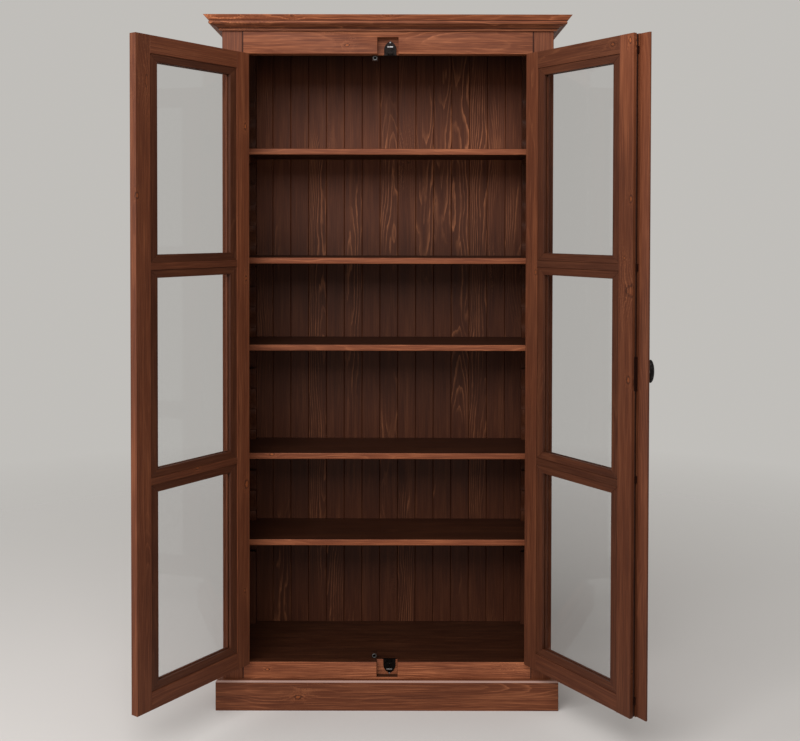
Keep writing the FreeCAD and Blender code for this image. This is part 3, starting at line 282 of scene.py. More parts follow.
class Graph:
    """The nodes of one material or of the world."""

    def __init__(self, tree):
        self.tree = tree
        tree.nodes.clear()

    def add(self, kind, settings=None, inputs=None, output=0):
        """Adds a node, sets it, joins its sockets and gives one of its outputs."""
        node = self.tree.nodes.new(kind)
        for name, value in (settings or {}).items():
            if name == "stops":
                self.set_stops(node.color_ramp, value)
            else:
                setattr(node, name, value)
        for name, value in (inputs or {}).items():
            if isinstance(value, Wire):
                self.tree.links.new(value.socket, node.inputs[name])
            elif isinstance(value, (tuple, list, Vector)) and node.inputs[name].type == "RGBA":
                node.inputs[name].default_value = (*value[:3], 1)
            else:
                node.inputs[name].default_value = value
        return Wire(self, node.outputs[output]) if len(node.outputs) else node

    def set_stops(self, ramp, stops):
        """Sets the stops of a ramp, each a place and a grey value."""
        while len(ramp.elements) > 1:
            ramp.elements.remove(ramp.elements[0])
        for index, (place, grey) in enumerate(stops):
            element = ramp.elements[0] if index == 0 else ramp.elements.new(place)
            element.position = place
            element.color = (grey, grey, grey, 1)

    def maths(self, operation, *values):
        """A Math node on one value or two."""
        return self.add("ShaderNodeMath", {"operation": operation}, dict(enumerate(values)))

    def ramp(self, value, stops):
        """A value read through a ramp of greys."""
        return self.add("ShaderNodeValToRGB", {"stops": stops}, {"Fac": value})

    def mix(self, share, first, second):
        """Two colours mixed by a share."""
        return self.add(
            "ShaderNodeMix", {"data_type": "RGBA"}, {"Factor": share, 6: first, 7: second}, 2
        )

    def vector(self, operation, first, second, output=0):
        """Vector Math on two vectors."""
        inputs = {0: first, 1: second}
        return self.add("ShaderNodeVectorMath", {"operation": operation}, inputs, output)

    def reach(self, vector):
        """Length of a vector."""
        return self.vector("LENGTH", vector, (0, 0, 0), "Value")

    def part(self, vector, index):
        """One of the three numbers of a vector."""
        return self.add("ShaderNodeSeparateXYZ", {}, {0: vector}, index)

    def combine(self, *values):
        """A vector of two numbers or three."""
        return self.add("ShaderNodeCombineXYZ", {}, dict(enumerate(values)))

    def own_place(self):
        """Place in the piece's own coordinates."""
        return self.add("ShaderNodeTexCoord", {}, {}, "Object")

    def attribute(self, name, output="Fac"):
        """A mark that the mesh carries."""
        return self.add("ShaderNodeAttribute", {"attribute_name": name}, {}, output)

    def noise(self, vector, scale, detail=2.0, roughness=0.5):
        """A soft noise between 0 and 1."""
        inputs = {"Vector": vector, "Scale": scale, "Detail": detail, "Roughness": roughness}
        return self.add("ShaderNodeTexNoise", {}, inputs)

    def bump(self, strength, distance, height):
        """Small raised marks."""
        inputs = {"Strength": strength, "Distance": distance, "Height": height}
        return self.add("ShaderNodeBump", {}, inputs)

    def surface(self, shader):
        """Ends the graph with a surface."""
        self.add("ShaderNodeOutputMaterial", {}, {"Surface": shader})

    def principled(self, **inputs):
        """Ends the graph with a Principled surface; its sockets are named with underscores."""
        sockets = {name.replace("_", " "): value for name, value in inputs.items()}
        self.surface(self.add("ShaderNodeBsdfPrincipled", {}, sockets))


def new_material(name):
    """A material with an empty graph, under a name that the CAD frame doesn't use."""
    material = bpy.data.materials.new(f"cabinet_{name}")
    material.use_nodes = True
    return material, Graph(material.node_tree)


def grain_turn(along):
    """Turn that makes a direction point upwards."""
    return Vector(along).rotation_difference(Vector(UPRIGHT))


def grain_place(graph, along, cross):
    """Place in a board, with the grain along z and the heart of the tree near x = y = 0."""
    own = graph.own_place()

    def turned(way):
        inputs = {"Vector": own, "Rotation": grain_turn(way).to_euler()}
        return graph.add("ShaderNodeMapping", {}, inputs)

    place = turned(along)
    if cross is not None:
        other, level = turned(cross), graph.attribute("turned")
        inputs = {"Factor": level, 4: place, 5: other}
        place = graph.add("ShaderNodeMix", {"data_type": "VECTOR"}, inputs, 1)
    return graph.vector("ADD", place, graph.attribute("board", "Vector"))


def uneven(graph, place):
    """A factor near 1 that keeps a knot from being a plain disc."""
    return 0.4 + graph.noise(place, 260.0, 2.0) * 1.2


def knot_distance(graph, knots, along):
    """Distance to the nearest of some knots in knot radii, shorter along the grain."""
    own = graph.own_place()
    squash = tuple(1 - 0.4 * abs(share) for share in along)
    nearest = None
    for place, radius in knots:
        away = graph.vector("MULTIPLY", graph.vector("SUBTRACT", own, place), squash)
        away = graph.reach(away) / radius
        nearest = away if nearest is None else graph.maths("MINIMUM", nearest, away)
    return nearest * uneven(graph, own)


def chance_knots(graph, place):
    """Bend, rim and heart of knots at chance places, which run through a board to both faces."""
    spots = graph.combine(
        (graph.part(place, 0) + graph.part(place, 1)) * KNOTS_ACROSS,
        graph.part(place, 2) * KNOTS_ALONG,
    )
    distance, pick = (
        graph.add("ShaderNodeTexVoronoi", {"voronoi_dimensions": "2D"},
                  {"Vector": spots, "Scale": 1.0}, output)
        for output in ("Distance", "Color")
    )
    distance = distance * uneven(graph, place)
    chosen = graph.ramp(graph.part(pick, 0), ((0, 0), (0.74, 0), (0.76, 1)))
    bend = graph.ramp(distance, ((0, 1), (0.10, 0.5), (0.32, 0))) * chosen
    rim = graph.ramp(distance, ((0.022, 0), (0.032, 0.9), (0.042, 0))) * chosen
    heart = graph.ramp(distance, ((0.0, 1), (0.026, 0.7), (0.042, 0.1), (0.08, 0))) * chosen * 0.35
    return bend, rim, heart


def placed_knots(graph, knots, along):
    """The same for knots at given places."""
    away = knot_distance(graph, knots, along)
    bend = graph.ramp(away / 8.0, ((0, 1), (0.12, 0.62), (0.40, 0.15), (0.8, 0)))
    rim = graph.ramp(away / 2.0, ((0.28, 0), (0.44, 1), (0.70, 0)))
    heart = graph.ramp(away / 4.0, ((0, 1), (0.17, 0.8), (0.25, 0.2), (0.7, 0)))
    return bend, rim, heart


def along_grain(graph, place, share):
    """A place where the way along the grain counts by a share, which draws patterns out."""
    return graph.vector("MULTIPLY", place, (1, 1, share))


def pine_pattern(graph, place, bend, figure, patchy, sizes):
    """Growth rings, streaks, fibres and blotches of pine, as masks between 0 and 1."""
    slow = along_grain(graph, place, 0.22)
    sway = graph.noise(slow, 6.0, 2.0) - 0.5
    lean = graph.noise(graph.vector("ADD", slow, (4.1, 2.7, 0.9)), 6.0, 2.0) - 0.5
    radius = graph.reach(graph.combine(
        graph.part(place, 0) + sway * RING_SWAY, graph.part(place, 1) + lean * RING_SWAY
    ))
    wander = graph.noise(along_grain(graph, place, 0.14), 60.0, 3.0) - 0.5
    ring = radius + graph.part(place, 2) * RING_TAPER + wander * RING_WANDER
    ring = ring / sizes.ring + bend * RINGS_BENT
    whole = graph.maths("FLOOR", ring)
    own_ring = graph.add("ShaderNodeTexWhiteNoise", {"noise_dimensions": "1D"}, {"W": whole})
    dense = ((0, 0), (0.58, 0.03), (0.80, 0.55), (0.88, 1), (0.95, 0.2), (1, 0))
    late = graph.ramp(ring - whole, dense)
    fade = graph.noise(along_grain(graph, place, 0.35), 26.0, 3.0, 0.6)
    few = ((0.51, 0.04), (0.60, 1)) if patchy else ((0.38, 0.15), (0.56, 1))
    strength = graph.ramp(graph.noise(slow, 7.0, 2.0), few)
    strength = strength * graph.ramp(fade, ((0.34, 0.25), (0.52, 1))) * figure + bend * 0.9
    late = late * strength * (0.45 + graph.part(own_ring, 0) * 0.55)
    fibre = graph.noise(along_grain(graph, place, 0.018), 0.5 / sizes.fibre, 2.0, 0.65)
    streak = graph.noise(along_grain(graph, place, 0.045), 0.5 / sizes.streak, 2.0, 0.6)
    blotch = graph.ramp(graph.noise(slow, 9.0, 3.0, 0.6), ((0.36, 0), (0.68, 1)))
    return late, streak, fibre, blotch


def dark_line_mask(graph, line_specs):
    """Dark along given lines, each with an axis, a distance from the middle and a half width."""
    own = graph.own_place()
    mask = 0.0
    for axis, level, half in line_specs:
        away = graph.maths("ABSOLUTE", graph.part(own, axis)) - level
        away = graph.maths("ABSOLUTE", away) / half
        mask = graph.ramp(away, ((0.55, 1), (1, 0))) + mask
    return mask


def paint_light_and_shade(graph, wood, inside, front):
    """Painted light and shade: the colour of the wood times its share at each level, with another
    share on front faces.
    """
    own = graph.own_place()
    stops = [(level / 2, share / 2) for level, share in inside]
    level = graph.ramp(graph.part(own, 2) / 2.0, stops) * 2.0
    if front is not None:
        edge = graph.attribute("front_edge")
        level = level + edge * (front - level)
    return graph.vector("MULTIPLY", wood, graph.combine(level, level, level))


def stained_pine(name, along, finish, sizes, tone=1.0, figure=1.0, patchy=False, inside=None,
                 front=None, crest=0.0, cross=None):
    """Pine with a red-brown stain under a satin lacquer.

    figure is the strength of the growth rings, patchy keeps them to a few boards,
    inside holds levels and the share of the colour there, which paints light and shade by level,
    and front the share on front faces, painted lighter or darker than the rest;
    crest paints a highlight on rounded upper edges.
    """
    material, graph = new_material(f"stained_pine_{name}")
    place = grain_place(graph, along, cross)
    bend, rim, heart = chance_knots(graph, place)
    knots = node_knots(name)
    if knots:
        own_bend, own_rim, own_heart = placed_knots(graph, knots, along)
        bend, rim, heart = own_bend + bend, own_rim + rim, own_heart + heart
    late, streak, fibre, blotch = pine_pattern(graph, place, bend, figure, patchy, sizes)
    stain, rings, dark, knot, rim_colour = (
        tuple(min(1.0, channel * tone) for channel in own)
        for own in (finish.stain, finish.rings, finish.blotch, finish.knots, finish.rims)
    )
    plain = 0.2 if patchy else min(1.0, figure)
    light_streak = graph.ramp(streak, ((0.50, 0), (0.72, 0.16 + 0.22 * plain)))
    dark_streak = graph.ramp(streak, ((0.28, 0.30 + 0.15 * plain), (0.47, 0)))
    dark_fibre = graph.ramp(fibre, ((0.30, 0.32), (0.55, 0)))
    light_fibre = graph.ramp(fibre, ((0.52, 0), (0.70, 0.10 + 0.34 * plain)))
    wood = stain
    for mask, own in (
        (light_streak, rings), (dark_streak, dark), (blotch * 0.40, dark), (dark_fibre, dark),
        (light_fibre, rings), (late * 0.85, rings), (heart * 0.65, knot), (rim * 0.85, rim_colour),
    ):
        wood = graph.mix(mask, wood, own)
    if name in DARK_LINES:
        wood = graph.mix(dark_line_mask(graph, DARK_LINES[name]) * 0.92, wood, rim_colour)
    # painted light and shade: the colour scaled by level and on front faces, from the doors' table
    # when none is given
    inside = inside or DOOR_PAINTED_LIGHT.get(name)
    if inside:
        wood = paint_light_and_shade(graph, wood, inside, front)
    # painted highlight on the rounded upper edges
    if crest:
        wood = graph.mix(graph.attribute("crest") * crest, wood, tuple(finish.crest))
    rough = 0.42 + fibre * 0.16 + blotch * 0.06
    bump = graph.bump(0.25, 0.0006, fibre * 0.6 + late * 0.6)
    graph.principled(Base_Color=wood, Roughness=rough, Normal=bump, Specular_IOR_Level=0.14)
    return material


def node_knots(node):
    """Places and radii of the knots that are set on one node."""
    if node not in DOOR_KNOTS:
        return KNOTS.get(node, ())
    side = -1 if node.startswith("left") else 1
    return [(on_door(side, reach, level, depth), radius)
            for reach, level, depth, radius in DOOR_KNOTS[node]]


def clear_glass(name, finish):
    """Thin window glass that lets light through and mirrors a little of the room."""
    material, graph = new_material(name)
    facing = graph.add("ShaderNodeLayerWeight", {}, {"Blend": 0.5}, "Facing")
    smear = graph.noise(graph.own_place(), 9.0, 3.0)
    graph.principled(
        Base_Color=tuple(finish.glass), Metallic=1.0, Roughness=smear * 0.04,
        Alpha=0.100 + (facing ** 3.0) * 0.7,
    )
    return material


def dark_bronze(name, finish, neck_highlight=0.0):
    """Browned bronze that hands have rubbed bright in places; a painted highlight can raise the
    bright share over it, as on the knob's neck.
    """
    material, graph = new_material(name)
    place = graph.own_place()
    clouds = graph.noise(place, 160.0, 4.0, 0.6)
    grains = graph.noise(place, 900.0, 2.0)
    worn = graph.ramp(clouds, ((0.48, 0), (0.72, 1)))
    # a painted highlight, when asked, raises the bright share over the random wear
    worn_and_highlight = worn * (0.10 + neck_highlight) + neck_highlight * 0.6
    tone = graph.mix(worn_and_highlight, tuple(finish.bronze), tuple(finish.bronze_worn_and_highlight))
    bump = graph.bump(0.15, 0.0003, grains)
    rough = 0.42 - worn * 0.12 + grains * 0.08
    graph.principled(Base_Color=tone, Metallic=0.9, Roughness=rough, Normal=bump)
    return material


def grey_steel(name, tint, shine=0.0):
    """Plain steel, slightly tarnished, with fine scratches."""
    material, graph = new_material(name)
    place = graph.own_place()
    clouds = graph.noise(place, 120.0, 4.0, 0.6)
    scratches = graph.noise(along_grain(graph, place, 0.05), 1500.0, 2.0)
    tarnish = graph.ramp(clouds, ((0.42, 0), (0.75, 1)))
    dull = tuple(channel * 0.45 for channel in tint)
    tone = graph.mix(tarnish * (0.7 - shine), tuple(tint), dull)
    bump = graph.bump(0.12, 0.0002, scratches)
    rough = 0.36 - shine * 0.3 + scratches * 0.14 + tarnish * 0.1
    graph.principled(Base_Color=tone, Metallic=1.0, Roughness=rough, Normal=bump)
    return material


def shared(make, name, *looks):
    """A material that several pieces share, made once."""
    return bpy.data.materials.get(f"cabinet_{name}") or make(name, *looks)


def merged_copy(node):
    """A CAD node's shape as one mesh with its flat faces joined."""
    mesh = bmesh.new()
    mesh.from_mesh(frame["nodes"][node].data)
    bmesh.ops.remove_doubles(mesh, verts=mesh.verts, dist=MERGE_DISTANCE)
    bmesh.ops.dissolve_limit(
        mesh, angle_limit=FLAT_ANGLE, use_dissolve_boundaries=False, verts=mesh.verts,
        edges=mesh.edges, delimit=set(),
    )
    return mesh


def loose_parts(mesh):
    """The vertices of each separate solid in a mesh, in an order that stays the same."""
    left = set(mesh.verts)
    parts = []
    while left:
        found, waiting = [], [left.pop()]
        while waiting:
            vertex = waiting.pop()
            found.append(vertex)
            for edge in vertex.link_edges:
                other = edge.other_vert(vertex)
                if other in left:
                    left.remove(other)
                    waiting.append(other)
        parts.append(found)
    return sorted(parts, key=lambda part: [round(x, 4) for end in part_box(part) for x in end])


def part_box(part):
    """Lowest and highest corner of some vertices."""
    low = Vector(min(vertex.co[axis] for vertex in part) for axis in range(3))
    high = Vector(max(vertex.co[axis] for vertex in part) for axis in range(3))
    return low, high


def part_boxes(mesh):
    """Lowest and highest corner of each separate solid in a mesh."""
    return [part_box(part) for part in loose_parts(mesh)]


def mark_boards(mesh, name, turns):
    """Puts the heart of the tree near each board, and marks level boards and front edges."""
    board = mesh.verts.layers.float_vector.new("board")
    turned = mesh.verts.layers.float.new("turned")
    front = mesh.faces.layers.float.new("front_edge")
    crest = mesh.faces.layers.float.new("crest")
    chance = random.Random(name)
    for part in loose_parts(mesh):
        low, high = part_box(part)
        level = len(turns) > 1 and high.z - low.z < max(high.x - low.x, high.y - low.y)
        way, far = chance.uniform(0, math.tau), chance.uniform(*HEART_DISTANCE)
        shift = Vector((far * math.cos(way), far * math.sin(way), chance.uniform(-2, 2)))
        shift -= turns[level] @ ((low + high) / 2)
        for vertex in part:
            vertex[board] = shift
            vertex[turned] = float(level)
    # front faces and rounded upper edges are marked for the material's painted light and shade
    for face in mesh.faces:
        face[front] = float(face.normal.y < -FACES_FRONT)
        face[crest] = float(CREST_RISE[0] < face.normal.z < CREST_RISE[1])


def in_scene(name, data):
    """A new object in the scene."""
    thing = bpy.data.objects.new(name, data)
    bpy.context.scene.collection.objects.link(thing)
    return thing


def mesh_data(mesh, name, material):
    """Turns a bmesh into a mesh with one material."""
    data = bpy.data.meshes.new(name)
    mesh.to_mesh(data)
    mesh.free()
    data.materials.append(material)
    return data


def place_piece(mesh, name, material, nodes, edge=0.0, slot=None):
    """A finished piece that stands in for one CAD node or more and rides on their body."""
    data = mesh_data(mesh, name, material)
    data.shade_smooth()
    data.set_sharp_from_angle(angle=SHARP_ANGLE)
    piece = in_scene(name, data)
    if edge > 0:
        rounding = piece.modifiers.new("rounded_edges", "BEVEL")
        rounding.width = edge
        rounding.segments = 2
        rounding.limit_method = "ANGLE"
        rounding.angle_limit = SHARP_ANGLE
        rounding.miter_outer = "MITER_ARC"
        rounding.harden_normals = True
    nodes = (nodes,) if isinstance(nodes, str) else nodes
    body, slot = BODY_OF_NODE[nodes[0]], slot or SLOT_OF_NODE[nodes[0]]
    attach(piece, body)
    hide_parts(*nodes)


def make_board(context, node, along, mesh=None, edge=None, cross=None, **looks):
    """Dresses a wooden node with pine, its grain along a direction, and rounded edges."""
    finish, sizes = context.scene.cabinet_finish, context.scene.cabinet_sizes
    mesh = mesh or merged_copy(node)
    mark_boards(mesh, node, [grain_turn(way) for way in (along, cross) if way])
    material = stained_pine(node, along, finish, sizes, cross=cross, **looks)
    place_piece(mesh, f"{node}_wood", material, node, sizes.edge if edge is None else edge)


def make_metal(context, node):
    """Dresses a metal node: slightly rounded edges, bronze or steel."""
    finish, sizes = context.scene.cabinet_finish, context.scene.cabinet_sizes
    if SLOT_OF_NODE[node] == "dark_bronze":
        material = shared(dark_bronze, "dark_bronze", finish)
    elif node.startswith("keeper"):
        material = shared(grey_steel, "grey_steel", finish.steel)
    else:
        material = shared(grey_steel, "brown_steel", finish.brown_steel)
    place_piece(merged_copy(node), f"{node}_metal", material, node, sizes.metal_edge)


def door_hinge(side):
    """Foot of a door's hinge pin and how far the door stands open; side is -1 for left."""
    joint = JOINTS["left_door_hinge" if side < 0 else "right_door_hinge"]
    x, y, _ = joint["pos_m"]
    return Vector((x, y, 0)), math.radians(-joint["range_deg"][0])


def door_turn(side):
    """Turns a closed door to the way it stands at rest."""
    pin, opening = door_hinge(side)
    hinge = Matrix.Translation(pin)
    return hinge @ Matrix.Rotation(side * opening, 4, "Z") @ hinge.inverted()


def on_door(side, reach, level, depth):
    """A place on an open door: reach from the hinge pin, level, and depth behind the pin."""
    return door_turn(side) @ (door_hinge(side)[0] + Vector((-side * reach, depth, level)))


def door_direction(side):
    """The way from the hinges to the free edge of a door at rest."""
    return (door_turn(side).to_3x3() @ Vector((-side, 0, 0))).normalized()


def extrude(mesh, faces):
    """Extrudes faces in place and gives the new vertices."""
    grown = bmesh.ops.extrude_face_region(mesh, geom=faces)["geom"]
    return [item for item in grown if isinstance(item, bmesh.types.BMVert)]


def add_screw(mesh, place, out, slot_way, diameter):
    """A countersunk screw head with a slot; out points away from the surface."""
    out, slot_way = Vector(out).normalized(), Vector(slot_way).normalized()
    turn = Matrix((slot_way, out.cross(slot_way), out)).transposed().to_4x4()
    radius = diameter / 2
    made = bmesh.ops.create_circle(mesh, cap_ends=True, segments=20, radius=radius)["verts"]
    disc = list({face for vertex in made for face in vertex.link_faces})
    top = extrude(mesh, disc)
    bmesh.ops.translate(mesh, verts=top, vec=(0, 0, radius * HEAD_RISE))
    bmesh.ops.scale(mesh, verts=top, vec=(HEAD_TAPER, HEAD_TAPER, 1))
    bmesh.ops.delete(mesh, geom=[face for face in disc if face.is_valid], context="FACES_ONLY")
    slot = bmesh.ops.create_cube(mesh, size=1)["verts"]
    bmesh.ops.scale(mesh, verts=slot, vec=[radius * side for side in SLOT_SIZE])
    bmesh.ops.translate(mesh, verts=slot, vec=(0, 0, radius * SLOT_RISE))
    verts = list({*made, *top, *slot})
    bmesh.ops.transform(mesh, matrix=Matrix.Translation(place) @ turn, verts=verts)


def turn_profile(mesh, profile, place):
    """Spins a profile of radius and height round its axis and puts the round shape in its place."""
    before = set(mesh.verts)
    line = [mesh.verts.new((radius, 0, level)) for radius, level in profile]
    edges = [mesh.edges.new(pair) for pair in zip(line, line[1:])]
    bmesh.ops.spin(
        mesh, geom=line + edges, cent=(0, 0, 0), axis=UPRIGHT, angle=math.tau, steps=TURN_STEPS,
        use_merge=True,
    )
    made = [vertex for vertex in mesh.verts if vertex not in before]
    bmesh.ops.remove_doubles(mesh, verts=made, dist=MERGE_DISTANCE)
    made = [vertex for vertex in mesh.verts if vertex not in before]
    faces = list({face for vertex in made for face in vertex.link_faces})
    bmesh.ops.recalc_face_normals(mesh, faces=faces)
    low, high = part_box(made)
    middle = (low + high) / 2
    if sum((face.calc_center_median() - middle).dot(face.normal) for face in faces) < 0:
        bmesh.ops.reverse_faces(mesh, faces=faces)
    bmesh.ops.transform(mesh, matrix=place, verts=made)


def node_boxes(node):
    """Lowest and highest corner of each solid of a CAD node."""
    mesh = merged_copy(node)
    boxes = part_boxes(mesh)
    mesh.free()
    return boxes


class CABINET_OT_carcass(bpy.types.Operator):
    """Posts, side frames and side panels"""

    bl_idname = "cabinet.carcass"
    bl_label = "Posts and Sides"

    def execute(self, context):
        for side in ("left", "right"):
            make_board(context, f"post_front_{side}", UPRIGHT, figure=0.3, tone=1.12)
            make_board(context, f"post_rear_{side}", UPRIGHT)
            make_board(context, f"side_rails_{side}", DEEP)
            make_board(context, f"side_panels_{side}", UPRIGHT)
        return {"FINISHED"}


class CABINET_OT_rails(bpy.types.Operator):
    """Top and bottom rails of the front, with the recesses for the keepers"""

    bl_idname = "cabinet.rails"
    bl_label = "Front Rails"

    def execute(self, context):
        make_board(context, "rail_top_front", ACROSS, tone=1.32, figure=1.2)
        # painted shade on the rail's top and its recess; its front faces keep the full colour
        looks = {"tone": 1.5, "figure": 1.2, "inside": ((0, 0.2),), "front": 1.0}
        make_board(context, "rail_bottom_front", ACROSS, **looks)
        return {"FINISHED"}


class CABINET_OT_cornice(bpy.types.Operator):
    """Moulded cornice with its mitred returns"""

    bl_idname = "cabinet.cornice"
    bl_label = "Cornice"

    def execute(self, context):
        for way, along in (("front", ACROSS), ("left", DEEP), ("right", DEEP)):
            self.make_moulding(context, f"cornice_{way}", along)
        return {"FINISHED"}

    def make_moulding(self, context, node, along):
        """One length of moulding; its upper band leans inwards, and the band below follows it."""
        leans = context.scene.cabinet_sizes.moulding_leans()
        mesh = merged_copy(node)
        for vertex in mesh.verts:
            place = vertex.co
            lean = 0.0
            for (high, more), (low, less) in zip(leans, leans[1:]):
                if low <= place.z <= high:
                    lean = less + (more - less) * (place.z - low) / (high - low)
            if abs(place.x) > CARCASS_SIDE + lean:
                place.x -= math.copysign(lean, place.x)
            if place.y < -lean:
                place.y += lean
        # painted light: the fascia above its step is painted 1.75 times brighter, as lit from above
        light = ((1.8950, 1.0), (1.8966, 1.75))
        looks = {"tone": 1.15, "figure": 1.2, "inside": light, "edge": 0.0006}
        make_board(context, node, along, mesh, **looks)


class CABINET_OT_plinth(bpy.types.Operator):
    """Plinth boards at the foot"""

    bl_idname = "cabinet.plinth"
    bl_label = "Plinth"

    def execute(self, context):
        # the plinths' rounded top edges get a painted highlight
        make_board(context, "plinth_front", ACROSS, figure=0.7, crest=0.75)
        for side in ("left", "right"):
            make_board(context, f"plinth_{side}", DEEP, crest=0.75)
        return {"FINISHED"}


class CABINET_OT_inside(bpy.types.Operator):
    """Back boards, top board and bottom board"""

    bl_idname = "cabinet.inside"
    bl_label = "Back, Top and Bottom"

    def execute(self, context):
        finish = context.scene.cabinet_finish
        # painted shade on the back and the top board: darker low down than round 1.6 m, darkest
        # right under the top board
        levels = ((1.25, 1.0), (1.60, 2.3), (1.78, 2.0), (1.87, 0.4))
        high_up = [(level, finish.back * times) for level, times in levels]
        make_board(context, "back_boards", UPRIGHT, figure=1.8, patchy=True, inside=high_up)
        make_board(context, "top_board", ACROSS, inside=high_up)
        # painted shade on the bottom board, darker still on its front face, and a painted highlight
        # on its rounded edge
        shade = ((0, finish.shade),)
        make_board(context, "bottom_board", ACROSS, inside=shade, front=0.2, crest=0.3)
        return {"FINISHED"}


class CABINET_OT_shelves(bpy.types.Operator):
    """Shelves, the cleats under them and the toothed racks"""

    bl_idname = "cabinet.shelves"
    bl_label = "Shelves and Racks"

    def execute(self, context):
        finish = context.scene.cabinet_finish
        # painted shade inside: shelf tops and undersides, cleats and racks dark; the shelves' front
        # edges painted lighter, as lit
        shade, back = ((0, finish.shade),), ((0, finish.back),)
        for number in range(1, 6):
            make_board(context, f"shelf_{number}", ACROSS, figure=0.5, inside=shade, front=1.6)
        for side in ("left", "right"):
            make_board(context, f"cleats_{side}", DEEP, figure=0.3, inside=back)
            for end in ("front", "rear"):
                make_board(context, f"rack_{end}_{side}", UPRIGHT, figure=0.3, inside=back)
        return {"FINISHED"}


class CABINET_OT_doors(bpy.types.Operator):
    """Stiles, rails, beads and astragal of the doors"""

    bl_idname = "cabinet.doors"
    bl_label = "Door Frames"

    def execute(self, context):
        # board, figure and tone
        boards = (
            ("stile_hinge", 0.25, 1.1), ("stile_meeting", 0.25, 0.9), ("rail_top", 0.3, 1.0),
            ("rail_bottom", 0.3, 1.0), ("rails_middle", 0.3, 0.75),
        )
        for (side, hand), tone in zip(DOOR_SIDES, (1.0, 0.82)):
            along = door_direction(hand)
            for board, figure, own_tone in boards:
                node, stile = f"{side}_{board}", board.startswith("stile")
                # the left stiles' front faces are painted lighter, as lit from the left
                make_board(
                    context, node, UPRIGHT if stile else along, figure=figure, tone=tone * own_tone,
                    front=1.1 if stile and hand < 0 else None,
                )
            self.make_beads(context, hand, f"{side}_beads", along)
        make_board(context, "astragal", UPRIGHT, figure=0.3, tone=0.85)
        return {"FINISHED"}

    def make_beads(self, context, hand, node, along):
        """Four mitred strips round each pane, each with its own grain."""
        sizes = context.scene.cabinet_sizes
        to_rest = door_turn(hand)
        old = merged_copy(node)
        bmesh.ops.transform(old, matrix=to_rest.inverted(), verts=old.verts)
        boxes = part_boxes(old)
        old.free()
        mesh = bmesh.new()
        for low, high in boxes:
            outer, inner = (
                [(low.x + wide, low.z + tall), (high.x - wide, low.z + tall),
                 (high.x - wide, high.z - tall), (low.x + wide, high.z - tall)]
                for wide, tall in ((0, 0), (sizes.bead_across, sizes.bead_along))
            )
            for turn in range(4):
                after = (turn + 1) % 4
                ring = (outer[turn], outer[after], inner[after], inner[turn])
                near = mesh.faces.new([mesh.verts.new((x, high.y, z)) for x, z in ring])
                bmesh.ops.translate(mesh, verts=extrude(mesh, [near]), vec=(0, low.y - high.y, 0))
        bmesh.ops.recalc_face_normals(mesh, faces=mesh.faces)
        bmesh.ops.transform(mesh, matrix=to_rest, verts=mesh.verts)
        make_board(context, node, UPRIGHT, mesh, cross=along, tone=BEAD_TONE, figure=0.3)


class CABINET_OT_panes(bpy.types.Operator):
    """Glass of both doors"""

    bl_idname = "cabinet.panes"
    bl_label = "Panes"

    def execute(self, context):
        material = shared(clear_glass, "clear_glass", context.scene.cabinet_finish)
        for node in ("left_glass", "right_glass"):
            panes = frame["nodes"][node]
            panes.data.materials.clear()
            panes.data.materials.append(material)
        return {"FINISHED"}


